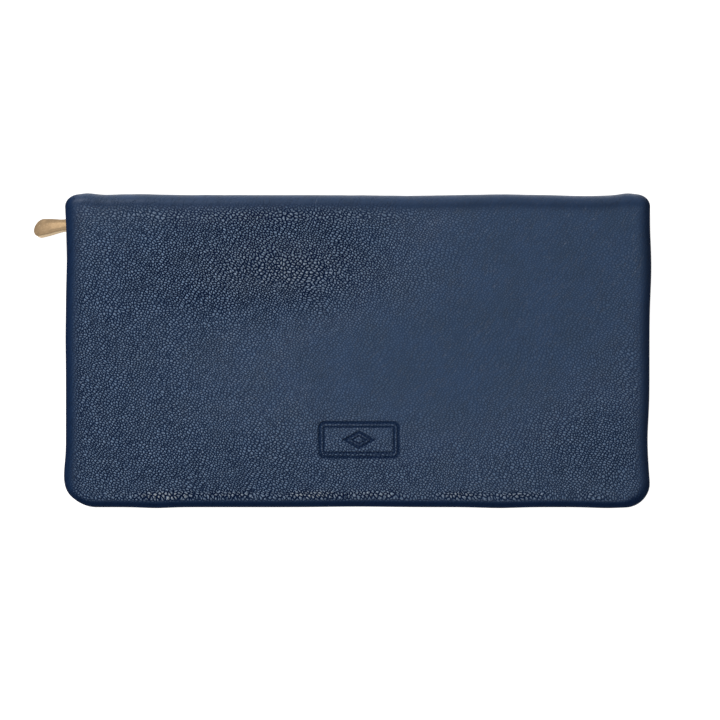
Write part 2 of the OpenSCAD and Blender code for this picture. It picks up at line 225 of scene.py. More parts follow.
def flat_edge(v, corner):
    """How far the flat area's side is drawn in by the rounded corner at height v, and the outward
    normal there."""
    r = corner - ROLL
    rise = np.clip((ROLL + r - v) / r, 0, 1)
    drawn = r * (1 - np.sqrt(1 - rise**2))
    return drawn, np.sqrt(1 - rise**2), -rise


def place_on_sheet(x, v, depth):
    """The point of a sheet that lies on the front cover, bends round the spine and ends at its
    middle. Below the bend's centre the sheet has a plain mitred corner."""
    centre_y, centre_z = SPINE_Y - BEND, TOP_Z - BEND
    radius = BEND - depth
    deep = radius < 0
    y = np.where(deep, np.minimum(MOUTH_Y + v, centre_y + radius), MOUTH_Y + v)
    z = TOP_Z - depth
    angle = np.clip((v - FLAT_END) / BEND, 0, QUARTER)
    bending = (v > FLAT_END) & (v <= FLAT_END + BEND_LENGTH)
    y = np.where(bending, centre_y + np.where(deep, radius, radius * np.sin(angle)), y)
    z = np.where(bending, centre_z + np.where(deep, radius, radius * np.cos(angle)), z)
    upright = v > FLAT_END + BEND_LENGTH
    down = centre_z - (v - FLAT_END - BEND_LENGTH)
    down = np.where(deep, np.minimum(down, centre_z + radius), down)
    y = np.where(upright, SPINE_Y - depth, y)
    z = np.where(upright, down, z)
    return np.stack([x, y, z], axis=-1)


def rim_profile():
    """The edge below its roll, from the lip over the turned hem to the inner side, as steps of
    (outward, depth, length along the leather)."""
    lip_r = 0.45
    roll_length = ROLL * QUARTER
    profile = [(ROLL, LIP - lip_r, roll_length + LIP - lip_r - ROLL)]
    for angle in np.radians((30, 60, 90)):
        out = ROLL - lip_r + lip_r * math.cos(angle)
        profile.append((out, LIP - lip_r + lip_r * math.sin(angle), roll_length + 0.35 + lip_r * angle))
    lip_end = roll_length + 0.35 + lip_r * QUARTER
    profile += [(out, LIP, lip_end + ROLL - lip_r - out) for out in (2.6, 1.4, 0.2)]
    inner = ROLL - HEM_WIDTH
    profile.append((inner + 0.25, LIP - 0.03, lip_end + 4.1))
    profile.append((inner + 0.05, LIP - 0.2, lip_end + 4.4))
    profile.append((inner, LIP - 0.5, lip_end + 4.7))
    profile.append((inner, LINING_DEPTH, lip_end + 5.2))
    profile += [(out, LINING_DEPTH, lip_end + 6) for out in (0.8, 2.2)]
    inner_r = ROLL - LEATHER
    for angle in np.radians((10, 35, 60, 80)):
        profile.append((inner_r * math.cos(angle), ROLL - inner_r * math.sin(angle), lip_end + 7))
    return profile


def edge_shift(points):
    """How the stuffed wallet's outline leaves its straight lines, as a sideways shift. The bumps
    are (centre, width, height) along each side."""
    x, y = points[:, 0], points[:, 1]
    left_bumps = [(31, 9, 0.28), (4, 8, -0.12), (-41, 5.5, -0.6), (-47.5, 3.5, -0.7), (50, 6, -0.3)]
    right_bumps = [(28, 12, -0.6), (-30, 10, 0.62), (-46, 5, -0.2), (50, 6, -0.2)]
    spine_bumps = [(-90, 3.5, 0.55), (-73, 8, 0.3), (17, 13, -0.3), (50, 9, 0.3), (75, 9, -0.25)]
    spine_bumps.append((90, 3.5, 0.6))
    mouth_bumps = [(-67, 6, 0.3), (0, 14, -0.18), (47, 8, 0.3), (83, 7, 0.3)]
    shift = np.zeros_like(points)
    shift[:, 0] += swells(y, 0.42, left_bumps) * smoothstep(78, 95, -x)
    shift[:, 0] -= swells(y, 0.3, right_bumps) * smoothstep(78, 95, x)
    shift[:, 1] += swells(x, -0.35, spine_bumps) * smoothstep(36, 50, y)
    shift[:, 1] -= swells(x, -0.12, mouth_bumps) * smoothstep(36, 50, -y)
    return shift


def painted_edge_shade(points):
    """How far the painted shade along the edge reaches, where the leather rolls away from the light:
    a long fade at the sides, a short one at the mouth and a light one along the spine."""
    side = HALF_X - np.abs(points[:, 0])
    mouth = points[:, 1] - MOUTH_Y
    cut_side, cut_mouth = np.maximum(LEFT_CORNER - side, 0), np.maximum(LEFT_CORNER - mouth, 0)
    in_corner = LEFT_CORNER - np.hypot(cut_side, cut_mouth)
    inward = np.where(cut_side * cut_mouth > 0, in_corner, np.minimum(side, mouth))
    to_mouth = smoothstep(0.25, 0.75, cut_mouth / (cut_side + cut_mouth + 0.001))
    at_left, at_right = 1.12 - inward / 5.6, 0.95 - inward / 5.8
    at_side = np.clip(np.where(points[:, 0] < 0, at_left, at_right), 0, 1)
    at_mouth = 0.97 * (1 - smoothstep(1.6, 3.3, inward))
    at_spine = 0.42 * np.exp(-(((SPINE_Y - points[:, 1] - 3.6) / 1.7) ** 2))
    return np.maximum(at_side * (1 - to_mouth) + at_mouth * to_mouth, at_spine)


def emblem_depth(points):
    """A blank pressed plaque: a double frame with round corners and a lozenge in it."""
    x, y = np.abs(points[:, 0] - EMBLEM[0]), np.abs(points[:, 1] - EMBLEM[1])
    corner = 2.2
    qx, qy = x - EMBLEM_SIZE[0] + corner, y - EMBLEM_SIZE[1] + corner
    border = np.hypot(np.maximum(qx, 0), np.maximum(qy, 0)) + np.minimum(np.maximum(qx, qy), 0) - corner
    lozenge = x * 0.55 + y - 2.6
    frames = ((border + 0.5, 0.42), (border + 1.9, 0.25))
    lozenges = ((lozenge, 0.4), (lozenge + 1.3, 0.22))
    depth = np.zeros(len(points))
    for distance, width in frames + lozenges:
        depth = np.maximum(depth, 1 - smoothstep(width, width + 0.3, np.abs(distance)))
    return 0.32 * depth


def make_skin(name, front):
    """The leather of one cover with its rolled edges, hem and half of the spine."""
    rows, shares = skin_rows(), skin_columns()
    n_rows, n_columns = len(rows), len(shares)
    half = HALF_X - ROLL
    left_drawn, left_nx, left_nv = flat_edge(rows, LEFT_CORNER)
    right_drawn, right_nx, right_nv = flat_edge(rows, RIGHT_CORNER)
    x_left, x_right = -half + left_drawn, half - right_drawn
    x = (x_left[:, None] + (x_right - x_left)[:, None] * shares).ravel()
    v = np.repeat(rows, n_columns)
    # the chain of points along the flat area's edge: down the left, along the mouth, up the right
    down = np.arange(n_rows - 1, -1, -1)
    up = np.arange(1, n_rows)
    chain = np.concatenate([down * n_columns, np.arange(1, n_columns), up * n_columns + n_columns - 1])
    normal_x = np.concatenate([-left_nx[down], np.zeros(n_columns - 1), right_nx[up]])
    normal_v = np.concatenate([left_nv[down], -np.ones(n_columns - 1), right_nv[up]])
    squareness = 2.0 + 0.8 * smoothstep(0.3, 1, -normal_v)

    # layers of (x, v, depth, x and v along the leather) from the outer side to the inner side
    layers = [np.stack([x, v, np.zeros(x.size), x, v])]

    def add_ring(out, depth, length):
        place = x[chain] + normal_x * out, v[chain] + normal_v * out
        along = x[chain] + normal_x * length, v[chain] + normal_v * length
        layers.append(np.stack([*place, np.zeros(len(chain)) + depth, *along]))

    for angle in np.linspace(0, QUARTER, 10)[1:]:
        out = ROLL * math.sin(angle) ** (2 / squareness)
        depth = ROLL * (1 - max(math.cos(angle), 0) ** (2 / squareness))
        add_ring(out, depth, ROLL * angle)
    for out, depth, length in rim_profile():
        add_ring(out, depth, length)
    ring_count = len(layers) - 1
    layers.append(np.stack([x, v, np.full(x.size, LEATHER), x, v]))
    sheet_x, sheet_v, depths, along_x, along_v = np.concatenate(layers, axis=1)
    points = place_on_sheet(sheet_x, sheet_v, depths)
    from_seam = along_v - SEAM
    hide = np.stack([along_x, from_seam, np.zeros(len(points))], axis=-1)
    # the share of painted shade on the rolled edges, read by the material
    rim_painted_shade = painted_edge_shade(points)

    # faces of the outer side, the rings, the inner side and the end at the middle of the spine
    inner_first = x.size + ring_count * len(chain)
    ring_ids = [x.size + k * len(chain) + np.arange(len(chain)) for k in range(ring_count)]
    ring_ids = [chain, *ring_ids, inner_first + chain]
    faces = grid_faces(n_rows, n_columns)
    for a, b in zip(ring_ids, ring_ids[1:]):
        faces += np.stack([a[1:], a[:-1], b[:-1], b[1:]], axis=-1).tolist()
    faces += grid_faces(n_rows, n_columns, inner_first, flip=True)
    end = (n_rows - 1) * n_columns + np.arange(n_columns)
    inner_end = inner_first + end
    faces += np.stack([end[:-1], end[1:], inner_end[1:], inner_end[:-1]], axis=-1).tolist()
    faces.append([ids[0] for ids in ring_ids][::-1])
    faces.append([ids[-1] for ids in ring_ids])

    # soft swelling over the whole cover, then the outline and the leather's own unevenness
    crown = smoothstep(0, 40, HALF_X - np.abs(points[:, 0])) * smoothstep(0, 30, points[:, 1] - MOUTH_Y)
    crown *= smoothstep(0, 30, SPINE_Y - points[:, 1])
    outer = 1 - smoothstep(0.4, 3.5, depths)
    unevenness = 0.16 * noise_field(hide, 0.045, 3 if front else 8) + 0.05 * noise_field(hide, 0.16, 5)
    lift = outer * (0.35 * crown * front + unevenness * smoothstep(0, 9, -from_seam))
    if front:
        pressed = emblem_depth(points) * (depths < 0.1) * (points[:, 2] > TOP_Z - 1)
        lift -= pressed
        # painted shade: the pressed lines of the plaque are darkened like the rolled edges
        rim_painted_shade = np.maximum(rim_painted_shade, 2.4 * pressed)
    upright = sheet_v > FLAT_END + BEND_LENGTH / 2
    points[:, 2] += np.where(upright, 0, lift)
    points[:, 1] += np.where(upright, lift, 0)
    points += edge_shift(points)
    if not front:
        points[:, 2] = np.maximum(TOP_Z - points[:, 2], 0.0)
        hide[:, 1] = -hide[:, 1]
        faces = [face[::-1] for face in faces]
    piece = make_mesh(name, points, faces)
    at_seam = from_seam > -0.001
    for edge in piece.data.edges:
        edge.use_edge_sharp = bool(at_seam[edge.vertices[0]] and at_seam[edge.vertices[1]])
    put(piece, "hide", hide)
    put(piece, "rim_shade", rim_painted_shade)
    return piece


front_skin = make_skin("front_cover_skin", True)
back_skin = make_skin("back_cover_skin", False)


# ---------------------------------------------------------------- zip path and swept shapes
TEETH_LOW, TEETH_HIGH = box_mm("lower_zip_teeth")
TOOTH_DEPTH = 2.2
ROW_X = TEETH_HIGH[0] - TOOTH_DEPTH / 2
ROW_Y = TEETH_LOW[1] + TOOTH_DEPTH / 2
ROW_R = 6.9
ZIP_END = box_mm("lower_zip_tape")[1][1]
PANEL_Z = box_mm("back_lining")[1][2]
PITCH = 2.4
COIN_PITCH = 2.0
COIN_TOOTH_SIZE = 0.6
THREAD_WIDTH = 0.42
THREAD_HEIGHT = 0.2
STITCH_SHARE = 0.78


class Heap:
    """Points, faces and per-point values that grow into one piece."""

    def __init__(self):
        self.points, self.faces, self.values, self.count = [], [], [], 0

    def add(self, points, faces, values=None):
        points = np.asarray(points, float).reshape(-1, 3)
        values = np.zeros(points.shape) if values is None else np.asarray(values, float)
        self.points.append(points)
        self.values.append(values.reshape(-1, 3))
        self.faces += [[i + self.count for i in face] for face in faces]
        self.count += len(points)

    def piece(self, name, front=False):
        """The finished piece. A front piece is the mirror image, on the front cover."""
        points, faces = np.concatenate(self.points), self.faces
        if front:
            points = points * (1, 1, -1) + (0, 0, TOP_Z)
            faces = [face[::-1] for face in faces]
        made = make_mesh(name, points, faces)
        put(made, "cloth", np.concatenate(self.values))
        return made


def mouth_path(step):
    """The middle of the zip from its left end to its right end: places, outward normals and
    lengths along it."""
    corner_x, corner_y = ROW_X - ROW_R, ROW_Y + ROW_R
    side = spaced(ZIP_END, corner_y, step)
    turn = spaced(0, ROW_R * QUARTER, step)[1:] / ROW_R
    mouth = spaced(-corner_x, corner_x, step)[1:]
    left_turn = np.stack([-np.cos(turn), -np.sin(turn)], -1)
    right_turn = np.stack([np.sin(turn), -np.cos(turn)], -1)
    parts = (
        (np.stack([np.full(len(side), -ROW_X), side], -1), (-1.0, 0.0)),
        (left_turn * ROW_R + (-corner_x, corner_y), left_turn),
        (np.stack([mouth, np.full(len(mouth), ROW_Y)], -1), (0.0, -1.0)),
        (right_turn * ROW_R + (corner_x, corner_y), right_turn),
        (np.stack([np.full(len(side) - 1, ROW_X), side[::-1][1:]], -1), (1.0, 0.0)),
    )
    places = np.concatenate([place for place, _ in parts])
    normals = np.concatenate([np.broadcast_to(normal, place.shape) for place, normal in parts])
    return places, normals, run_of(places)


PATH = mouth_path(0.8)


def on_path(s):
    """Place and outward normal at length s along the zip."""
    places, normals, lengths = PATH
    place = np.array([np.interp(s, lengths, places[:, k]) for k in (0, 1)])
    normal = np.array([np.interp(s, lengths, normals[:, k]) for k in (0, 1)])
    return place, normal / np.hypot(*normal)


def swept(heap, places, normals, lengths, profile, across):
    """Sweeps a closed profile of (outward, height) along a path and caps both ends. across is the
    distance of each profile point over the cloth."""
    out, height = np.asarray(profile, float).T
    xy = places[:, None, :] + normals[:, None, :] * out[None, :, None]
    z = np.broadcast_to(height[None, :, None], (*xy.shape[:2], 1))
    values = np.zeros((*xy.shape[:2], 3))
    values[:, :, 0] = lengths[:, None]
    values[:, :, 1] = across
    heap.add(np.concatenate([xy, z], -1), ring_faces(*xy.shape[:2]), values)


def thick_line(line, thickness):
    """A closed profile round an open line of (outward, height), with its distance across."""
    line = np.asarray(line, float)
    normal = left_of(np.diff(line, axis=0))
    normal = flat_directions(np.concatenate([normal[:1], (normal[:-1] + normal[1:]) / 2, normal[-1:]]))
    run = run_of(line)
    half = thickness / 2
    profile = np.concatenate([line + normal * half, (line - normal * half)[::-1]])
    return profile.tolist(), np.concatenate([run, run[::-1]])


def bent(points, radius, steps=5):
    """A line of (a, b) points whose inner corners are rounded."""
    points = [np.array(p, float) for p in points]
    line = [points[0]]
    for before, corner, after in zip(points, points[1:], points[2:]):
        start = corner + (before - corner) / np.hypot(*(before - corner)) * radius
        end = corner + (after - corner) / np.hypot(*(after - corner)) * radius
        for t in np.linspace(0, 1, steps + 1):
            line.append((1 - t) ** 2 * start + 2 * t * (1 - t) * corner + t * t * end)
    line.append(points[-1])
    return np.array(line)


def add_stitch(heap, start, end, up):
    """One stitch: a soft oval thread from start to end that stands on its line."""
    start, end, up = (np.asarray(p, float) for p in (start, end, up))
    along = end - start
    length = np.linalg.norm(along)
    side = np.cross(along / length, up)
    sides = 6
    rings = ((0.06, 0.62), (0.25, 1.0), (0.5, 1.06), (0.75, 1.0), (0.94, 0.62))
    points, values = [start], [(0, 0, 0)]
    for share, radius in rings:
        for a in np.arange(sides) * math.tau / sides:
            across = side * (THREAD_WIDTH / 2 * radius * math.cos(a))
            points.append(start + along * share + across + up * (THREAD_HEIGHT * radius * math.sin(a)))
            values.append((share * length, a, 0))
    points.append(end)
    values.append((length, 0, 0))
    last = len(points) - 1
    last_ring = last - sides
    faces = [[0, 1 + (k + 1) % sides, 1 + k] for k in range(sides)]
    faces += [[1 + i for i in face] for face in ring_faces(len(rings), sides, caps=False)]
    faces += [[last_ring + k, last_ring + (k + 1) % sides, last] for k in range(sides)]
    heap.add(points, faces, values)


def stitch_line(heap, place_at, length, up, pitch=3.1):
    """Stitches along a line. place_at gives the point at a length along it."""
    count = int(length / pitch)
    first = (length - count * pitch) / 2
    for k in range(count):
        start = first + k * pitch
        add_stitch(heap, place_at(start), place_at(start + pitch * STITCH_SHARE), up)


def loft_box(heap, rings, place=(0, 0, 0), axes=((1, 0, 0), (0, 1, 0), (0, 0, 1)), corner=0.2):
    """A solid through rounded rectangles. Each ring is (height, half a, half b)."""
    points = []
    for height, half_a, half_b in rings:
        r = min(corner, half_a * 0.9, half_b * 0.9)
        for quarter, (sign_a, sign_b) in enumerate(((1, 1), (-1, 1), (-1, -1), (1, -1))):
            for angle in np.radians((0, 45, 90)) + quarter * QUARTER:
                a = sign_a * (half_a - r) + r * math.cos(angle)
                b = sign_b * (half_b - r) + r * math.sin(angle)
                points.append(np.asarray(place, float) + np.dot((a, b, height), axes))
    heap.add(points, ring_faces(len(rings), 12))


# ---------------------------------------------------------------- zip
TAPE_Z = PANEL_Z + 0.26
TEETH_Z = TEETH_LOW[2]


def make_tape(name, front):
    """Half of the zip's woven tape: sewn flat on the cover, bent up, and a corded edge for the
    teeth."""
    cloth, cord = 0.42, 0.42
    line = bent([(-2.6, TAPE_Z), (0, TAPE_Z), (0, TEETH_Z - 0.1)], 0.9)
    turn = len(line)
    profile, across = thick_line(line, cloth)
    angles = np.linspace(3.8, -0.66, 9)
    bead = [(cord * math.cos(a), TEETH_Z + 0.35 + cord * math.sin(a)) for a in angles]
    profile = profile[:turn] + bead + profile[turn:]
    over_bead = across[turn - 1] + np.linspace(0.1, 1.4, len(bead))
    across = np.concatenate([across[:turn], over_bead, across[turn:]])
    heap = Heap()
    swept(heap, *PATH, profile, across)
    return heap.piece(name, front)


# (height, half along the row, half across it) of a tooth: two legs round the cord, a waist and a
# domed head
TOOTH = (
    (0.0, 0.48, 0.86),
    (0.18, 0.56, 1.02),
    (1.25, 0.56, 1.06),
    (1.6, 0.5, 0.92),
    (2.1, 0.47, 0.94),
    (2.55, 0.56, 1.0),
    (3.1, 0.52, 0.9),
    (3.34, 0.36, 0.66),
)


def make_teeth(name, front, first, last):
    """One row of the main zip's metal teeth, from length first to length last along the zip."""
    heap = Heap()
    for s in np.arange(first, last, PITCH):
        place, normal = on_path(s)
        axes = ((-normal[1], normal[0], 0), (*normal, 0), (0, 0, 1))
        loft_box(heap, TOOTH, (*place, TEETH_Z), axes, 0.28)
    return heap.piece(name, front)


# (share of the height, size) of small blocks from their low to their high end: a folded clamp with
# a pinched middle, a leather tab with a rounded nose, and the coin zip's clamps
CLAMP = ((0, 0.82), (0.06, 0.97), (0.38, 1.0), (0.5, 0.9), (0.62, 1.0), (0.94, 0.97), (1, 0.82))
TAB_NOSE = ((0, 0.9), (0.05, 0.98), (0.5, 1.0), (0.8, 0.98), (0.93, 0.9), (1, 0.7))
COIN_CLAMP = ((0, 0.8), (0.08, 1.0), (0.4, 1.0), (0.5, 0.86), (0.6, 1.0), (0.92, 1.0), (1, 0.8))


def make_blocks(name, node, steps, give, corner, half_x=None, places=None):
    """Blocks with rounded edges in the box of a CAD node, one at each x in places or one in its
    middle. Their size follows steps, in y only by the share give."""
    low, high = box_mm(node)
    middle, half = (low + high) / 2, (high - low) / 2
    rings = [
        (low[2] + share * (high[2] - low[2]), (half_x or half[0]) * size, half[1] * (1 - give * (1 - size)))
        for share, size in steps
    ]
    heap = Heap()
    for x in places or (middle[0],):
        loft_box(heap, rings, (x, middle[1], 0), corner=corner)
    return heap.piece(name)


# ---------------------------------------------------------------- sliders, link and pulls
def tube(heap, path, up, half_up, half_flat, closed=False):
    """A bar of rounded cross-section along a flat path. half_up is its half size along up."""
    path, up = np.asarray(path, float), np.asarray(up, float)
    if closed:
        tangent = np.roll(path, -1, axis=0) - np.roll(path, 1, axis=0)
    else:
        tangent = np.gradient(path, axis=0)
    tangent /= np.linalg.norm(tangent, axis=1)[:, None]
    side = np.cross(tangent, up)
    sides = 14
    turns = np.arange(sides) * math.tau / sides
    bulge = (np.abs(np.cos(turns)) ** 3 + np.abs(np.sin(turns)) ** 3) ** (-1 / 3)
    across, over = half_flat * np.cos(turns) * bulge, half_up * np.sin(turns) * bulge
    points = path[:, None, :] + side[:, None, :] * across[None, :, None]
    heap.add(points + up * over[None, :, None], ring_faces(len(path), sides, closed))


def add_shield(heap, outline, axis_x, x_low, x_high, dome):
    """A thin rounded plate whose outline lies in the other two axes, domed on its high side."""
    middle = outline.mean(axis=0)
    edge = 0.22 * (1 if x_high > x_low else -1)
    rings = [(x_low, 0.94), (x_low + edge, 1.0), (x_high - 1.6 * edge, 1.0), (x_high - 0.5 * edge, 0.965)]
    rings += [(x_high + dome * rise, size) for rise, size in ((0, 0.9), (0.45, 0.72), (0.85, 0.4), (1, 0.1))]
    points = []
    for x, size in rings:
        for a, b in middle + (outline - middle) * size:
            points.append((x, a, b) if axis_x == 0 else (a, x, b))
    heap.add(points, ring_faces(len(rings), len(outline)))


def shield_outline(low, high, half, waist):
    """Outline of a slider's wing along (length, width): square shoulders at the high end, a
    narrower waist and a round low end."""
    nose = [(low, 0), (low, half * 0.62), (low + 1.6, half * 0.86), (low + (high - low) * 0.42, waist)]
    side = bent(nose, 0.5, 4)[1:]
    shoulder = bent([side[-1], (high - 3.4, half), (high, half), (high, 0)], 1.1, 5)[1:-1]
    one = np.concatenate([side, shoulder])
    return np.concatenate([one, (one * (1, -1))[::-1]]) + (0, MIDDLE_Z)


def make_slider(name):
    """Two domed wings, bent flanges and the post between them."""
    low, high = box_mm("zip_slider")
    middle = (low + high) / 2
    half = (high[2] - low[2]) / 2
    outline = shield_outline(low[1], high[1], half, half * 0.86)
    wing = 0.9
    gap_low, gap_high = low[0] + wing, high[0] - wing
    heap = Heap()
    add_shield(heap, outline, 0, gap_low, low[0] + 0.25, -0.24)
    add_shield(heap, outline, 0, gap_high, high[0] - 0.25, 0.24)
    flange = (gap_high - gap_low - 0.9) / 2
    length = (high[1] - low[1]) / 2 - 1.4
    thin, wide = (flange / 2, 0.25), (flange / 2 + 0.05, 0.34)
    rings = [(-length, *thin), (0.8 - length, *wide), (length - 0.8, *wide), (length, *thin)]
    for sign in (-1, 1):
        for x in (gap_low + flange / 2 - 0.05, gap_high - flange / 2 + 0.05):
            place = (x, middle[1], MIDDLE_Z + sign * (half * 0.86 - 0.36))
            loft_box(heap, rings, place, ((1, 0, 0), (0, 0, 1), (0, -1, 0)), 0.15)
    post = (gap_high - gap_low) / 2 + 0.1
    place = (middle[0], high[1] - 1.9, MIDDLE_Z)
    loft_box(heap, [(-post, 0.9, 0.2), (post, 0.9, 0.2)], place, ((0, 1, 0), (0, 0, 1), (1, 0, 0)), 0.15)
    return heap.piece(name)


def make_arch(name, node, direction):
    """The low bridge on a slider that the pull hangs from. direction is where it stands proud."""
    (x_low, y_low, z_low), (x_high, y_high, z_high) = box_mm(node)
    if direction == "x":
        bar, radius = 0.4, 0.9
        foot, top = x_high + 0.1, x_low + bar
        near, far = y_low + 0.6, y_high - 0.6
        corners = [(foot, near), (top, near), (top, far), (foot, far)]
    else:
        bar, radius = 0.35, 0.7
        foot, top = y_high + 0.1, y_low + bar
        near, far = x_low + 0.42, x_high - 0.42
        corners = [(near, foot), (near, top), (far, top), (far, foot)]
    path = [(a, b, (z_low + z_high) / 2) for a, b in bent(corners, radius, 7)]
    heap = Heap()
    tube(heap, path, (0, 0, 1), (z_high - z_low) / 2, bar)
    return heap.piece(name)


def make_link(name):
    """A closed wire link with rounded corners."""
    low, high = box_mm("pull_link")
    wire = (high[0] - low[0]) / 2
    r = 1.3
    y_low, z_low = low[1:] + wire + r
    y_high, z_high = high[1:] - wire - r
    path = []
    for quarter, (y, z) in enumerate(((y_high, z_high), (y_low, z_high), (y_low, z_low), (y_high, z_low))):
        for a in np.linspace(0, QUARTER, 7) + quarter * QUARTER:
            path.append((low[0] + wire, y + r * math.cos(a), z + r * math.sin(a)))
    path = np.array(path)
    middle = (path + np.roll(path, -1, axis=0)) / 2
    path = np.stack([path, middle], axis=1).reshape(-1, 3)
    heap = Heap()
    tube(heap, path, (1, 0, 0), wire * 0.97, wire * 0.97, closed=True)
    return heap.piece(name)


def make_teardrop(name, place, axes, eye_x, eye_r, hole_r, tail_x, tail_r, thick):
    """A flat drop-shaped pull with a round eye: a gently domed field with a painted highlight on its
    edge. thick is its thickness at the eye and at the tail."""

    def arc(x, r, angles):
        return np.stack([x + r * np.cos(angles), r * np.sin(angles)], -1)

    start = QUARTER + math.asin((tail_r - eye_r) / (tail_x - eye_x))
    tail = arc(tail_x, tail_r, np.linspace(-start, start, 31))
    eye = arc(eye_x, eye_r, np.linspace(start, math.tau - start, 25))
    share = np.linspace(0, 1, 18)[1:-1, None]
    side = (1 - share) * tail[-1] + share * eye[0]
    outline = np.concatenate([tail, side, eye, side[::-1] * (1, -1)])
    length = tail_x + tail_r - eye_x
    pinch = 1 - 0.13 * np.exp(-(((outline[:, 0] - eye_x) / length - 0.3) / 0.2) ** 2)
    outline[:, 1] *= pinch
    inward = left_of(np.roll(outline, -1, axis=0) - np.roll(outline, 1, axis=0))
    angle = np.arctan2(outline[:, 1], outline[:, 0] - eye_x)
    hole, lip = arc(eye_x, hole_r, angle), arc(eye_x, hole_r + 0.16, angle)
    reach = np.hypot(*(outline - hole).T)
    half_width = pinch * np.interp(outline[:, 0], (eye_x, tail_x), (eye_r, tail_r))
    share = np.clip(np.minimum(reach / 2.6, 0.3 * half_width), 0.12, 1)[:, None]
    half = np.interp(outline[:, 0], (eye_x, tail_x), (thick[0] / 2, thick[1] / 2))
    flats = [(hole, 0.35 * thick[0] / half), (lip, 0.49 * thick[0] / half)]
    # steps of (inward, height as a share of half) from the field out to the edge, and the painted highlight
    # on them
    steps = ((1.7, 1.0), (1.1, 0.98), (0.6, 0.94), (0.2, 0.88), (0.03, 0.78), (0, 0.6))
    flats += [(outline + inward * step * share, height) for step, height in steps]
    painted_edge_highlight = [0, 0, 0, 0, 0, 0, 0.6, 1]
    rings = [np.column_stack([flat, half * height]) for flat, height in flats]
    rings += [ring * (1, 1, -1) for ring in rings[::-1]]
    points = np.concatenate(rings) @ np.asarray(axes, float) + np.asarray(place, float)
    quads = ring_faces(len(rings), len(outline), closed=True)
    piece = make_mesh(name, points, [[a, d, c, b] for a, b, c, d in quads])
    put(piece, "painted_edge_highlight", np.repeat(painted_edge_highlight + painted_edge_highlight[::-1], len(outline)))
    return piece


# ---------------------------------------------------------------- sheets inside the wallet
def make_plate(name, front, x, y, top, bottom, round_edge):
    """A closed plate over a grid of places x, y with heights top and bottom and soft edges."""
    rows, columns = x.shape
    count = x.size
    along, up = np.arange(columns - 1), np.arange(rows - 1)
    right, left = up * columns + columns - 1, (rows - 1 - up) * columns
    ring = np.concatenate([along, right, count - 1 - along, left])
    flat = np.stack([x.ravel(), y.ravel()], -1)
    edge = flat[ring]
    drawn = flat.copy()
    drawn[ring] = edge + left_of(np.roll(edge, -1, axis=0) - np.roll(edge, 1, axis=0)) * round_edge
    high, low = (np.broadcast_to(level, x.shape).ravel() for level in (top, bottom))
    middle, half = (high[ring] + low[ring]) / 2, (high[ring] - low[ring]) / 2
    layers = ((drawn, high), (edge, middle + 0.55 * half), (edge, middle - 0.55 * half), (drawn, low))
    points = np.concatenate([np.column_stack(layer) for layer in layers])
    m = len(ring)
    under = count + 2 * m
    chains = [ring, count + np.arange(m), count + m + np.arange(m), under + ring]
    faces = grid_faces(rows, columns) + grid_faces(rows, columns, under, flip=True)
    for a, b in zip(chains, chains[1:]):
        faces += np.stack([np.roll(a, -1), a, b, np.roll(b, -1)], -1).tolist()
    heap = Heap()
    heap.add(points, faces, points * (1, 1, 0))
    return heap.piece(name, front)


def groove(distance, width, depth):
    """A soft groove along distance zero."""
    return depth * np.exp(-((distance / width) ** 2))


def fine_steps(low, high, step, fine):
    """Even steps from low to high with extra ones near each place in fine."""
    extra = [spaced(max(low, f - 0.7), min(high, f + 0.7), 0.18) for f in fine]
    steps = np.unique(np.round(np.concatenate([spaced(low, high, step), *extra]), 3))
    keep = np.concatenate([[True], np.diff(steps) > 0.05])
    return steps[keep]


def rounded_sheet(y, half_x, corner, from_mouth, shares):
    """Grid places of a sheet of rows y whose two corners at the mouth are rounded."""
    rise = np.clip((corner - from_mouth) / corner, 0, 1)
    x = (half_x - corner * (1 - np.sqrt(1 - rise**2)))[:, None] * shares
    return x, np.broadcast_to(y[:, None], x.shape)


def make_lining(name, front):
    """The cloth on the inner side of a cover."""
    low, high = box_mm("back_lining")
    y = spaced(low[1] + 0.1, high[1] - 0.1, 2.5)
    corner = LEFT_CORNER - HEM_WIDTH
    x, y = rounded_sheet(y, high[0] - 0.1, corner, y - low[1], spaced(-1, 1, 0.03))
    return make_plate(name, front, x, y, high[2] - 0.01, low[2] + 0.04, 0.1)


def make_slip_pocket(name, front):
    """The pocket behind the card slots, with a turned mouth edge and a pressed line along it."""
    low, high = box_mm("back_slip_pocket")
    y = fine_steps(low[1], high[1], 3, [low[1] + 0.7, low[1] + 1.7])
    x, y = rounded_sheet(y, high[0], 4.2, y - low[1], spaced(-1, 1, 0.02))
    top = high[2] - groove(y - low[1] - 1.7, 0.22, 0.16)
    return make_plate(name, front, x, y, top, low[2] + 0.03, 0.2)


COLUMN_EDGES = (-87.6, -1.2, 1.2, 87.6)


def make_card_slot(name, tier, front):
    """One tier of card slots: a pressed line along its mouth, room for a card under each column,
    and soft hollows where the columns are sewn down."""
    low, high = box_mm(f"back_slot_{tier}")
    x = fine_steps(low[0], high[0], 4, COLUMN_EDGES)
    y = fine_steps(low[1], high[1], 4, [low[1] + 0.6, low[1] + 1.6])
    x, y = np.meshgrid(x, y)
    sewn = np.zeros(x.shape)
    left, right = COLUMN_EDGES[0], COLUMN_EDGES[3]
    for edge_low, edge_high in ((left - 3, left), COLUMN_EDGES[1:3], (right, 92)):
        line = smoothstep(edge_low - 1.2, edge_low, x) * smoothstep(-edge_high - 1.2, -edge_high, -x)
        sewn = np.maximum(sewn, line)
    from_mouth = y - low[1]
    top = high[2] - 0.14 * sewn - groove(from_mouth - 1.6, 0.22, 0.14)
    room = 0.26 * (1 - sewn) * (1 - smoothstep(48, 50, from_mouth))
    return make_plate(name, front, x, y, top, low[2] + 0.02 + room, 0.14)


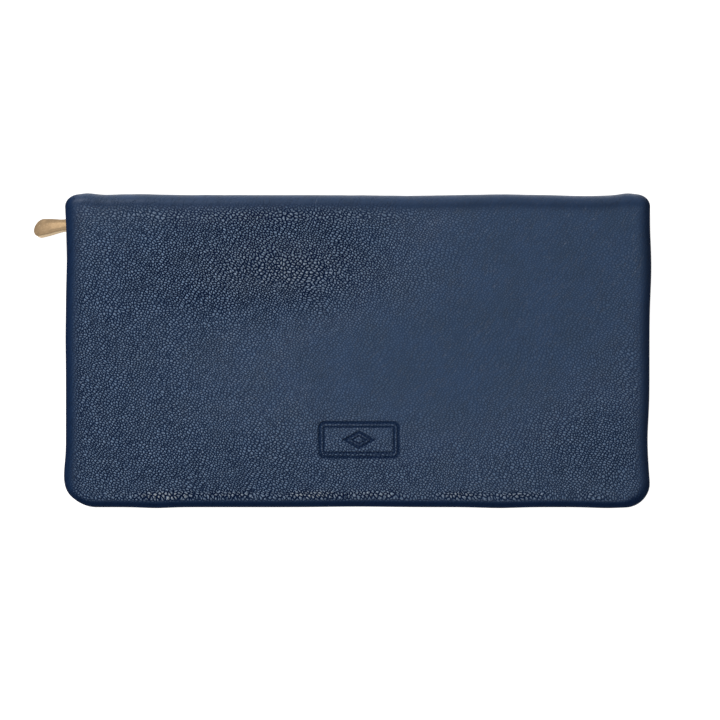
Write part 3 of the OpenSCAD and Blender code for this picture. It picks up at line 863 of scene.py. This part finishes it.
def make_slot_stitches(name, front):
    """Stitches down both sides and the middle of the card slots, and along the tape's flange."""
    heap = Heap()
    mouths = [box_mm(f"back_slot_{tier}")[0][1] for tier in (1, 2, 3, 4)]
    end = box_mm("back_slot_4")[1][1]
    for tier, (start, stop) in enumerate(zip(mouths, mouths[1:] + [end]), 1):
        z = box_mm(f"back_slot_{tier}")[1][2] - 0.12
        for x in (-88.5, 0, 88.5):
            stitch_line(heap, lambda s, x=x, y=start, z=z: (x, y + s, z), stop - start, (0, 0, 1), 2.7)

    def on_flange(s):
        place, normal = on_path(s + 3)
        return (*(place - normal * 1.75), PANEL_Z + 0.44)

    stitch_line(heap, on_flange, PATH[2][-1] - 6, (0, 0, 1))
    return heap.piece(name, front)


def make_strip(name, line, half_x, thickness=0.3, front=False):
    """A cloth strip along the spine: a bent line of (y, z) drawn out along x, slightly uneven."""
    profile, across = thick_line(line, thickness)
    stations = spaced(-half_x, half_x, 6)
    points, values = [], []
    for x in stations:
        ease = abs(0.05 * math.sin(x * 0.37) + 0.04 * math.sin(x * 0.15 + 1))
        points += [(x, y - ease, z) for y, z in profile]
        values += [(x, c, 0) for c in across]
    heap = Heap()
    heap.add(points, ring_faces(len(stations), len(profile)), values)
    return heap.piece(name, front)


# ---------------------------------------------------------------- coin page
def make_coin_panel(name, front):
    """One wall of the coin pocket, with a turned mouth edge and seams along its border."""
    low, high = box_mm("coin_back_panel")
    x = fine_steps(low[0], high[0], 4, [low[0] + 0.6, high[0] - 0.6])
    y = fine_steps(low[1], high[1], 4, [low[1] + 0.6, low[1] + 2.2, low[1] + 5.6])
    x, y = np.meshgrid(x, y)
    from_mouth = y - low[1]
    bottom = low[2] + groove(from_mouth - 2.2, 0.22, 0.14) + groove(from_mouth - 5.6, 0.4, 0.1)
    return make_plate(name, front, x, y, high[2] - 0.02, bottom, 0.2)


def make_coin_stitches(name, front):
    """Stitches down both sides of the coin pocket and along its tape."""
    low, high = box_mm("coin_back_panel")
    z, up = low[2] + 0.06, (0, 0, -1)
    heap = Heap()
    for side in (low[0] + 1.1, high[0] - 1.1):
        stitch_line(heap, lambda s, x=side: (x, low[1] + 1 + s, z), high[1] - low[1] - 2, up, 2.7)
    stitch_line(heap, lambda s: (low[0] + 2 + s, low[1] + 5.6, z), high[0] - low[0] - 4, up, 2.7)
    return heap.piece(name, front)


def make_gusset(name):
    """The folded wall between the coin pocket's panels, on its two sides and its spine end."""
    low, high = box_mm("coin_gusset")
    r = 1.5
    y_low, y_high = low[1] + 0.5, high[1] - 0.7
    x_side = high[0] - 0.5
    x_turn, y_turn = x_side - r, y_high - r
    turn = [(r * math.sin(a), r * math.cos(a)) for a in spaced(0, QUARTER, 0.26)[1:]]
    places = [(-x_side, y) for y in spaced(y_low, y_turn, 4)]
    places += [(-x_turn - b, y_turn + a) for a, b in turn]
    places += [(x, y_high) for x in spaced(-x_turn, x_turn, 6)[1:]]
    places += [(x_turn + a, y_turn + b) for a, b in turn]
    places = np.array([*places, (x_side, y_low)])
    outward = left_of(np.gradient(places, axis=0))
    z_low, z_high = low[2] + 0.1, high[2] - 0.1
    fold = [(0.1, z_low), (0.3, z_low + 0.8), (-0.95, MIDDLE_Z), (0.3, z_high - 0.8), (0.1, z_high)]
    heap = Heap()
    swept(heap, places, outward, run_of(places), *thick_line(bent(fold, 0.35, 4), 0.3))
    return heap.piece(name)


def make_coin_tape(name, front):
    """Half of the coin zip's flat tape, with a ridge where the cord runs."""
    low, high = box_mm("coin_back_tape")
    y = fine_steps(low[1], high[1], 1.2, [low[1] + 0.6])
    x, y = np.meshgrid(spaced(low[0], high[0], 4), y)
    top = high[2] - 0.16 + groove(y - low[1] - 0.55, 0.4, 0.16)
    return make_plate(name, front, x, y, top, low[2] + 0.02, 0.08)


def make_coin_teeth(name, node, front):
    """One row of the coin zip's small metal teeth."""
    low, high = box_mm(node)
    rings = [(0, 0.46, 0.8), (0.2, 0.54, 0.95), (1.3, 0.54, 1.0), (2.0, 0.46, 0.88), (2.6, 0.56, 0.96)]
    rings = np.array([*rings, (3.3, 0.36, 0.62)]) * COIN_TOOTH_SIZE
    base = box_mm("coin_back_teeth")[0][2] - 0.05
    heap = Heap()
    for x in np.arange(low[0] + 0.5, high[0], COIN_PITCH):
        loft_box(heap, rings, (x, (low[1] + high[1]) / 2, base), corner=0.16)
    return heap.piece(name, front)


def make_coin_slider(name):
    """The coin zip's slider: a large wing on the mouth side, a small one behind and a post."""
    low, high = box_mm("coin_slider")
    half = (high[2] - low[2]) / 2
    outer = shield_outline(low[0], high[0], half, half * 0.84)
    inner = shield_outline(low[0], high[0], 1.5, 1.3)
    heap = Heap()
    add_shield(heap, outer, 1, low[1] + 0.8, low[1] + 0.2, -0.19)
    add_shield(heap, inner, 1, high[1] - 0.8, high[1] - 0.2, 0.19)
    post = (high[1] - low[1]) / 2 - 0.7
    place = (low[0] + 1.6, (low[1] + high[1]) / 2, MIDDLE_Z)
    loft_box(heap, [(-post, 0.8, 0.12), (post, 0.8, 0.12)], place, ((1, 0, 0), (0, 0, -1), (0, 1, 0)), 0.1)
    return heap.piece(name)


# ---------------------------------------------------------------- materials
class Shader:
    """A material's node tree, with short calls for the nodes it uses."""

    def __init__(self, name, color, roughness, metallic=0.0, specular=0.5):
        self.material = bpy.data.materials.new(name)
        self.material.use_nodes = True
        self.tree = self.material.node_tree
        self.surface = self.tree.nodes["Principled BSDF"]
        self.fill(self.surface, {"Base Color": (*color, 1), "Roughness": roughness})
        self.fill(self.surface, {"Metallic": metallic, "Specular IOR Level": specular})
        self.material.diffuse_color = (*color, 1)

    def fill(self, node, inputs):
        """Links each input of a node to a socket, or sets its value."""
        for key, value in inputs.items():
            if isinstance(value, bpy.types.NodeSocket):
                self.tree.links.new(value, node.inputs[key])
            else:
                node.inputs[key].default_value = value

    def add(self, kind, output, inputs, **settings):
        """One output of a new node with these settings and inputs."""
        node = self.tree.nodes.new("ShaderNode" + kind)
        for key, value in settings.items():
            setattr(node, key, value)
        self.fill(node, inputs)
        return node.outputs[output]

    def attribute(self, name, output="Vector"):
        return self.add("Attribute", output, {}, attribute_name=name)

    def object_mm(self):
        """The object coordinates in millimetres."""
        return self.scale(self.add("TexCoord", "Object", {}), (1000, 1000, 1000))

    def vector(self, operation, a, b):
        return self.add("VectorMath", 0, {0: a, 1: b}, operation=operation)

    def scale(self, vector, factors):
        return self.vector("MULTIPLY", vector, factors)

    def x_and_y(self, vector):
        return [self.add("SeparateXYZ", axis, {0: vector}) for axis in ("X", "Y")]

    def warp(self, vector, scale, amount):
        """The vector pushed about by smooth noise."""
        push = self.vector("SUBTRACT", self.noise(vector, scale, output="Color"), (0.5, 0.5, 0.5))
        return self.vector("ADD", vector, self.scale(push, (amount, amount, amount)))

    def noise(self, vector, scale, detail=2.0, roughness=0.5, output="Fac"):
        inputs = {"Vector": vector, "Scale": scale, "Detail": detail, "Roughness": roughness}
        return self.add("TexNoise", output, inputs)

    def turn(self, vector, degrees):
        inputs = {"Vector": vector, "Angle": math.radians(degrees)}
        return self.add("VectorRotate", "Vector", inputs, rotation_type="Z_AXIS")

    def cells(self, vector, scale, disorder=1.0, feature="DISTANCE_TO_EDGE", space="2D"):
        """Voronoi cells: the distance to their edges, or to their centres with feature F1."""
        inputs = {"Vector": vector, "Scale": scale, "Randomness": disorder}
        return self.add("TexVoronoi", "Distance", inputs, feature=feature, voronoi_dimensions=space)

    def math(self, operation, a, b=0.0, clamp=False):
        return self.add("Math", 0, {0: a, 1: b}, operation=operation, use_clamp=clamp)

    def times(self, a, b, clamp=False):
        return self.math("MULTIPLY", a, b, clamp)

    def plus(self, a, b):
        return self.math("ADD", a, b)

    def between(self, value, low, high, to_low=0.0, to_high=1.0):
        """The value's place between low and high, eased and clamped."""
        inputs = {"Value": value, "From Min": low, "From Max": high, "To Min": to_low, "To Max": to_high}
        return self.add("MapRange", "Result", inputs, interpolation_type="SMOOTHSTEP")

    def mix(self, share, a, b, kind="FLOAT"):
        return self.add("Mix", "Result", {"Factor": share, "A": a, "B": b}, data_type=kind)

    def mix_color(self, share, a, b):
        a, b = ((*color, 1) if isinstance(color, tuple) else color for color in (a, b))
        return self.mix(share, a, b, "RGBA")

    def mottled(self, place, scale, dark, light):
        """Two colours that change over softly from patch to patch."""
        return self.mix_color(self.between(self.noise(place, scale, 4.0, 0.6), 0.3, 0.7), dark, light)

    def bump(self, height, distance):
        return self.add("Bump", "Normal", {"Height": height, "Distance": distance, "Strength": 1.0})

    def dress(self, color, roughness, normal):
        """The finished material. A roughness of None stays the even one it was made with."""
        self.fill(self.surface, {"Base Color": color, "Normal": normal})
        if roughness is not None:
            self.fill(self.surface, {"Roughness": roughness})
        return self.material


def outer_leather(name, base, specular, rough):
    """Navy pebbled leather: domed cells between grooves that lie in slanting rows, strong in places
    and faint in others, with fine wrinkles along them. Painted highlights and glints lighten the
    pebble tops, and painted shade darkens the grooves, the wrinkles and the rolled edges."""
    s = Shader(name, base, rough, specular=specular)
    hide = s.attribute("hide")
    shine = s.attribute("shine", "Fac")
    rim_shade = s.attribute("rim_shade", "Fac")
    patches = s.between(s.noise(hide, 0.22), 0.32, 0.6, 0.92, 1.06)
    grain = s.times(s.attribute("grain", "Fac"), patches)
    flow = s.warp(s.turn(hide, 30.0), 0.04, 7.0)
    warped = s.warp(s.scale(flow, (0.9, 1.28, 1.0)), 0.4, 0.4)
    fine_edge, bold_edge = s.cells(warped, 1.02, 0.8), s.cells(warped, 0.83, 0.8)
    edge = s.mix(s.between(shine, 0.2, 0.6, 0.0, 0.9), fine_edge, bold_edge)
    small = s.between(s.cells(warped, 1.9), 0.0, 0.34)
    cells = s.plus(s.times(s.between(edge, 0.0, 0.46), 0.75), s.times(small, 0.25))
    folds = s.noise(s.scale(flow, (0.9, 0.16, 1.0)), 1.0)
    wrinkle = s.between(s.math("ABSOLUTE", s.math("SUBTRACT", folds, 0.5)), 0.026, 0.003)
    fine = s.math("SUBTRACT", s.times(s.noise(hide, 3.2, 3.0), 0.1), s.times(wrinkle, 0.2))
    normal = s.bump(s.plus(s.times(cells, grain), fine), 0.0005)
    # painted shade: the grooves and the wrinkles are darkened where shade falls in them
    groove = s.math("MAXIMUM", s.between(edge, 0.25, 0.07), s.times(wrinkle, 0.8))
    groove = s.times(groove, s.times(grain, 1.52, clamp=True))
    # painted highlight: where the grain is strong the pebble tops are lightened towards a pale blue,
    # standing in for the light that catches them
    lit = s.times(s.times(grain, 1.3, clamp=True), s.between(small, 0.0, 1.0, 0.4, 1.0))
    top = s.times(s.between(edge, 0.12, 0.32), lit)
    color = s.mottled(hide, 0.09, NAVY_DEEP, base)
    color = s.mix_color(s.times(top, 0.95), color, NAVY_PEBBLE_HIGHLIGHT)
    # painted highlight: near-white glints on the pebble tops where shine is high
    color = s.mix_color(s.times(s.math("POWER", top, 2.0), shine), color, NAVY_PAINTED_GLINT)
    color = s.mix_color(groove, color, NAVY_GROOVE_SHADE)
    # painted shade: the rolled edges and a band below the spine are darkened where they turn away from the
    # light
    color = s.mix_color(rim_shade, color, NAVY_EDGE_SHADE)
    dull = s.math("MAXIMUM", groove, rim_shade)
    s.fill(s.surface, {"Specular IOR Level": s.between(dull, 0.0, 0.8, specular, 0.01)})
    return s.dress(color, s.plus(s.times(dull, 0.3), rough), normal)


NAVY = (0.0162, 0.0360, 0.080)
NAVY_DEEP = (0.0150, 0.0320, 0.067)
# painted highlight for the pebble tops
NAVY_PEBBLE_HIGHLIGHT = (0.148, 0.228, 0.352)
# painted shade for the grooves
NAVY_GROOVE_SHADE = (0.0006, 0.0037, 0.020)
# painted shade for the rolled edges
NAVY_EDGE_SHADE = (0.0026, 0.0085, 0.028)
# painted glints on the pebble tops
NAVY_PAINTED_GLINT = (0.34, 0.35, 0.34)
NAVY_INNER = (0.026, 0.045, 0.082)
THREAD = (0.060, 0.092, 0.155)
CHAMPAGNE = (0.228, 0.158, 0.091)


def grain_strength(piece):
    """How deep the pebbles are over a skin, strong at the upper left and along the mouth and almost
    smooth in the middle and on the right, and where their tops carry painted glints."""
    count = len(piece.data.vertices)
    hide = np.zeros(count * 3, np.float32)
    piece.data.attributes["hide"].data.foreach_get("vector", hide)
    x, from_seam = hide.reshape(-1, 3)[:, 0], -np.abs(hide.reshape(-1, 3)[:, 1])
    y = from_seam + SEAM + MOUTH_Y
    # patches of (centre x, centre y, width along x, width along y, depth)
    strong = [
        (-28, 28, 42, 15, 0.7),
        (-90, -8, 60, 60, 0.45),
        (-10, -43, 75, 18, 0.34),
        (78, -32, 28, 20, 0.27),
        (98, -15, 26, 36, 0.16),
        (-20, 44, 45, 8, 0.3),
    ]
    total = np.full(count, 0.08)
    for cx, cy, wx, wy, share in strong:
        total += share * np.exp(-(((x - cx) / wx) ** 2) - ((y - cy) / wy) ** 2)
    side, mouth, spine = HALF_X - np.abs(x), y - MOUTH_Y, SPINE_Y - y
    smooth_edge = smoothstep(1.5, 5.5, side) * smoothstep(2.2, 3.2, mouth) * smoothstep(2.5, 6, spine)
    at_mouth = groove(mouth - 4.4, 1.3, 1) * smoothstep(8, 30, side)
    at_mouth *= 0.55 + 0.45 * np.sin(0.19 * x + 1.1) * np.sin(0.071 * x)
    at_spine = groove(spine - 7, 2.5, 1) * smoothstep(60, -10, x)
    put(piece, "grain", np.clip((total + 0.4 * at_mouth) * smooth_edge, 0, 1.1))
    # shine: where the pebble tops carry painted glints, along the mouth, below the spine and at the upper
    # left; it also makes the cells there bolder
    hot = np.exp(-(((x + 22 + 0.4 * (y - 27)) / 25) ** 2) - ((y - 27) / 8.5) ** 2)
    put(piece, "shine", np.clip(1.1 * at_mouth + 0.5 * at_spine + 0.55 * hot + 0.06, 0, 1))


def inner_leather():
    """Smooth navy leather with a fine straight grain, for the pockets."""
    s = Shader("smooth_navy_leather", NAVY_INNER, 0.5, specular=0.35)
    place = s.attribute("cloth")
    fine = s.between(s.cells(s.warp(place, 0.8, 0.5), 1.9), 0.0, 0.3)
    folds = s.noise(s.scale(place, (0.3, 1.0, 1.0)), 1.4, 3.0)
    height = s.plus(s.times(fine, 0.5), s.times(folds, 0.4))
    color = s.mottled(place, 0.12, NAVY_DEEP, NAVY_INNER)
    # painted shade: darker towards the cell edges of the fine grain
    color = s.mix_color(s.times(s.math("SUBTRACT", 1.0, fine), 0.5), color, NAVY_GROOVE_SHADE)
    return s.dress(color, s.between(folds, 0.2, 0.8, 0.44, 0.58), s.bump(height, 0.00007))


def woven(name, dark, light, rib, slope, depth):
    """Woven cloth: threads rib per millimetre that lean by slope and cross at right angles."""
    s = Shader(name, dark, 0.85, specular=0.15)
    place = s.attribute("cloth")
    u, v = s.x_and_y(s.warp(place, 0.6, 0.12))
    lean = s.math("PINGPONG", s.times(u, slope), 1.0)
    over = s.between(s.math("SINE", s.times(s.plus(v, lean), rib * math.tau)), -0.9, 0.8)
    cross = s.between(s.math("SINE", s.times(u, rib * math.tau * 0.8)), -0.8, 0.9)
    thread = s.plus(s.times(over, 0.7), s.times(cross, 0.3))
    fuzz = s.noise(place, 5.0, 3.0)
    pale = tuple(min(1, c * 2.2) for c in light)
    # painted shade: the cloth is darker where the threads dip under each other
    color = s.mix_color(s.between(fuzz, 0.5, 0.8, 0.0, 0.3), s.mix_color(thread, dark, light), pale)
    s.fill(s.surface, {"Sheen Weight": 0.25})
    return s.dress(color, None, s.bump(s.plus(thread, s.times(fuzz, 0.3)), depth))


def satin_metal(name, color, rough):
    """Satin champagne gold: fine brushing, soft stains, a few worn spots and, on the pulls, a painted
    highlight along the edges.
    """
    s = Shader(name, color, rough, metallic=1.0)
    place = s.object_mm()
    brushed = s.noise(s.scale(place, (0.5, 3.0, 3.0)), 3.0, 3.0, 0.6)
    wear_and_edge_highlight = s.between(s.noise(place, 1.7, 4.0, 0.7), 0.56, 0.72)
    # the lighter colour mixes real worn spots with the painted highlight along the pulls' edges
    wear_and_edge_highlight = s.math("MAXIMUM", s.times(wear_and_edge_highlight, 0.35), s.attribute("painted_edge_highlight", "Fac"))
    stain = s.between(s.noise(place, 0.5, 3.0), 0.3, 0.7)
    tint = s.mix_color(stain, tuple(c * 0.8 for c in color), color)
    tint = s.mix_color(wear_and_edge_highlight, tint, (0.60, 0.48, 0.33))
    brushing = s.between(brushed, 0.2, 0.8, rough - 0.07, rough + 0.08)
    return s.dress(tint, s.plus(brushing, s.times(wear_and_edge_highlight, 0.1)), s.bump(brushed, 0.000015))


def thread_material():
    """Twisted navy thread."""
    s = Shader("navy_thread", THREAD, 0.6, specular=0.3)
    u, v = s.x_and_y(s.attribute("cloth"))
    twist = s.math("SINE", s.plus(s.times(u, 12.0), v))
    # painted shade: the thread is darker in the grooves of its twist
    color = s.mix_color(s.between(twist, -1.0, 1.0), tuple(c * 0.45 for c in THREAD), THREAD)
    return s.dress(color, None, s.bump(twist, 0.00004))


def foam_material():
    """Pale open-cell foam."""
    s = Shader("open_cell_foam", (0.58, 0.55, 0.44), 0.95, specular=0.1)
    bubbles = s.cells(s.object_mm(), 2.2, feature="F1", space="3D")
    # painted shade: darker in the middle of each bubble's pit
    color = s.mix_color(s.between(bubbles, 0.1, 0.6), (0.36, 0.33, 0.25), (0.62, 0.58, 0.47))
    return s.dress(color, None, s.bump(bubbles, 0.00025))


def board_material():
    """Brown fibre board."""
    s = Shader("fibre_board", (0.27, 0.22, 0.15), 0.9, specular=0.1)
    fibres = s.noise(s.scale(s.object_mm(), (0.3, 2.0, 2.0)), 1.5, 4.0, 0.65)
    color = s.mix_color(s.between(fibres, 0.35, 0.68), (0.15, 0.12, 0.08), (0.36, 0.30, 0.21))
    return s.dress(color, None, s.bump(fibres, 0.0001))


# ---------------------------------------------------------------- floor, light and camera
def make_stage():
    """A pale floor just under the wallet."""
    s = Shader("pale_floor", (0.35, 0.35, 0.35), 0.9, specular=0.0)
    s.fill(s.surface, {"Emission Color": (1, 1, 1, 1), "Emission Strength": 0.9})
    half, z = 3000, -0.05
    corners = [(-half, -half, z), (half, -half, z), (half, half, z), (-half, half, z)]
    floor = make_mesh("floor", corners, [[0, 1, 2, 3]])
    floor.data.materials.append(s.material)


def area_light(name, place, size, power, color):
    """A softbox that faces the middle of the wallet."""
    data = bpy.data.lights.new(name, "AREA")
    data.shape = "RECTANGLE"
    data.size, data.size_y = size
    data.energy = power
    data.color = color
    lamp = add_object(name, data)
    lamp.location = place
    lamp.rotation_mode = "QUATERNION"
    lamp.rotation_quaternion = (-Vector(place)).to_track_quat("-Z", "Y")


def make_lights():
    """A white studio with a softbox at the upper left and a warmer one on the mouth side."""
    world = bpy.data.worlds.new("studio")
    world.use_nodes = True
    background = world.node_tree.nodes["Background"]
    background.inputs["Color"].default_value = (1, 1, 1, 1)
    background.inputs["Strength"].default_value = 0.45
    bpy.context.scene.world = world
    area_light("upper_left_softbox", (-0.6, 0.68, 0.62), (0.4, 0.25), 14.0, (1, 1, 1))
    area_light("mouth_side_softbox", (-0.1, -0.75, 0.5), (0.7, 0.18), 4.5, (1.0, 0.94, 0.86))


def make_camera():
    """Straight above the wallet, 100 mm lens."""
    data = bpy.data.cameras.new("camera")
    data.lens = 100
    data.sensor_width = 36
    camera = add_object("camera", data)
    view_width = 0.2383
    camera.location = (0.00083, -0.0031, TOP_Z * MM + view_width * data.lens / data.sensor_width)
    bpy.context.scene.camera = camera
    bpy.context.scene.view_settings.view_transform = "Standard"


# ---------------------------------------------------------------- putting the wallet together
def finish_piece(piece, look):
    """Gives a piece its material."""
    material, slot = look
    piece.data.materials.append(material)


def settle(piece, look, body, *nodes):
    """Finishes a piece, puts it on its body and lets it replace CAD nodes."""
    finish_piece(piece, look)
    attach(piece, body)
    if nodes:
        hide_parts(*nodes)


def dress_node(node, material):
    """Puts a procedural material on a CAD node that stays."""
    materials = frame["nodes"][node].data.materials
    materials.clear()
    materials.append(material)


TWILL = woven("lining_twill", (0.006, 0.010, 0.020), (0.022, 0.034, 0.060), 2.2, 0.0, 0.00006)
WEBBING = woven("zip_tape_herringbone", (0.005, 0.009, 0.018), (0.022, 0.033, 0.058), 1.5, 0.5, 0.0001)
SMOOTH_LEATHER = inner_leather()
FOAM = foam_material()
BOARD = board_material()
# looks: a material and the record's slot
COVER = (outer_leather("navy_pebbled_leather", NAVY, 0.24, 0.36), "outer_leather")
POCKET = (SMOOTH_LEATHER, "inner_leather")
TAB = (SMOOTH_LEATHER, "outer_leather")
LINING = (TWILL, "lining_cloth")
STITCHING = (thread_material(), "lining_cloth")
TAPE = (WEBBING, "zip_tape")
METAL = (satin_metal("zip_metal_satin", (0.60, 0.43, 0.25), 0.34), "zip_metal")
GOLD = (satin_metal("slider_gold_satin", CHAMPAGNE, 0.6), "slider_gold")

for skin in (front_skin, back_skin):
    grain_strength(skin)
    finish_piece(skin, COVER)
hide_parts("front_leather", "spine_leather")
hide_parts("back_leather")
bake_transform(front_skin)
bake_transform(back_skin)

first_tooth = ZIP_END - TEETH_HIGH[1] + 0.6
last_tooth = PATH[2][-1] - 4.2
for front, cover, side in ((False, "back_cover", "lower"), (True, "front_cover", "upper")):
    way = "front" if front else "back"
    settle(make_lining(f"{way}_cover_lining", front), LINING, cover, f"{way}_lining")
    settle(make_slip_pocket(f"{way}_pocket_ply", front), POCKET, cover, f"{way}_slip_pocket")
    for tier in (1, 2, 3, 4):
        ply = make_card_slot(f"{way}_card_tier_{tier}", tier, front)
        settle(ply, POCKET, cover, f"{way}_slot_{tier}")
    settle(make_slot_stitches(f"{way}_stitching", front), STITCHING, cover)
    settle(make_tape(f"{side}_woven_tape", front), TAPE, cover, f"{side}_zip_tape")
    shift = PITCH / 2 if front else 0
    teeth = make_teeth(f"{side}_teeth_row", front, first_tooth + shift, last_tooth)
    settle(teeth, METAL, cover, f"{side}_zip_teeth")
    stop = make_blocks(f"{side}_stop_clamp", f"{side}_top_stop", CLAMP, 0.1, 0.35)
    settle(stop, METAL, cover, f"{side}_top_stop")
    tab_size = (TAB_NOSE, 0.06, 0.6, TOOTH_DEPTH / 2)
    tabs = make_blocks(f"{side}_tape_tabs", f"{side}_end_tabs", *tab_size, (-ROW_X, ROW_X))
    settle(tabs, TAB, cover, f"{side}_end_tabs")
    dress_node(f"{way}_foam", FOAM)
    dress_node(f"{way}_board", BOARD)
    settle(make_coin_panel(f"coin_{way}_wall", front), POCKET, "coin_page", f"coin_{way}_panel")
    settle(make_coin_stitches(f"coin_{way}_stitching", front), STITCHING, "coin_page")
    settle(make_coin_tape(f"coin_{way}_woven_tape", front), TAPE, "coin_page", f"coin_{way}_tape")
    coin_teeth = make_coin_teeth(f"coin_{way}_teeth_row", f"coin_{way}_teeth", front)
    settle(coin_teeth, METAL, "coin_page", f"coin_{way}_teeth")

clamp = make_blocks("bottom_stop_clamp", "zip_bottom_stop", CLAMP, 0.1, 0.35)
settle(clamp, METAL, "back_cover", "zip_bottom_stop")
settle(make_gusset("coin_folded_gusset"), LINING, "coin_page", "coin_gusset")
stop_x = box_mm("coin_stops")[1][0] - 1
clamps = make_blocks("coin_end_clamps", "coin_stops", COIN_CLAMP, 1, 0.3, 1.0, (-stop_x, stop_x))
settle(clamps, METAL, "coin_page", "coin_stops")
dress_node("spine_stiffener", BOARD)

# the spine's lining, and the cloth strips that bridge its two folds and the page's hinge
spine_low, spine_high = box_mm("spine_lining_cloth")
STRIP_HALF = 90
inner_y = spine_low[1]
spine_line = [(inner_y + 0.2, z) for z in spaced(spine_low[2], spine_high[2], 2)]
spine_cloth = make_strip("spine_cloth", spine_line, spine_high[0] - 0.2)
settle(spine_cloth, LINING, "spine", "spine_lining_cloth")
fold_corners = [(47.3, PANEL_Z + 0.2), (inner_y - 0.35, PANEL_Z + 0.2), (inner_y - 0.2, 6.2)]
fold_line = list(bent(fold_corners, 1.6, 12))
fold_line += [(inner_y - 0.2, z) for z in (6.6, 7.1, 7.8, 9, 10.3)]
for name, pair, front in (
    ("lower_fold_cloth", ("back_cover", "spine"), False),
    ("upper_fold_cloth", ("front_cover", "spine"), True),
):
    strip = make_strip(name, fold_line, STRIP_HALF, front=front)
    finish_piece(strip, LINING)
    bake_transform(strip)

hinge_low, hinge_high = box_mm("page_hinge_strip")
hinge_line = [(y, MIDDLE_Z) for y in spaced(hinge_low[1] - 0.6, hinge_high[1] + 0.1, 0.4)]
hinge = make_strip("page_hinge_cloth", hinge_line, hinge_high[0], 0.42)
finish_piece(hinge, LINING)
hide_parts("page_hinge_strip")
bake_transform(hinge)

settle(make_slider("slider_body"), GOLD, "zip_slider", "zip_slider")
settle(make_arch("slider_arch", "zip_bridge", "x"), GOLD, "zip_slider", "zip_bridge")
settle(make_link("wire_link"), GOLD, "pull_link", "pull_link")

# the pull's heading, droop and roll in degrees
heading, droop, roll = (
    Matrix.Rotation(math.radians(angle), 3, axis) for angle, axis in ((184, "Z"), (33, "Y"), (25, "X"))
)
axes = np.array((heading @ droop @ roll).transposed())
drop = make_teardrop("teardrop_pull", joint_mm("pull_lift"), axes, 0, 2.1, 1.45, 14.1, 3.25, (1.2, 2.0))
settle(drop, GOLD, "pull", "pull")

settle(make_coin_slider("coin_slider_body"), GOLD, "coin_slider", "coin_slider")
arch = make_arch("coin_slider_arch", "coin_bridge", "y")
settle(arch, GOLD, "coin_slider", "coin_bridge")
axes = ((1, 0, 0), (0, 0, 1), (0, -1, 0))
place = joint_mm("coin_pull_swing")
drop = make_teardrop("coin_teardrop_pull", place, axes, 1.6, 2.0, 1.35, 9.2, 1.8, (0.8, 1.0))
settle(drop, GOLD, "coin_pull", "coin_pull")

make_stage()
make_lights()
make_camera()
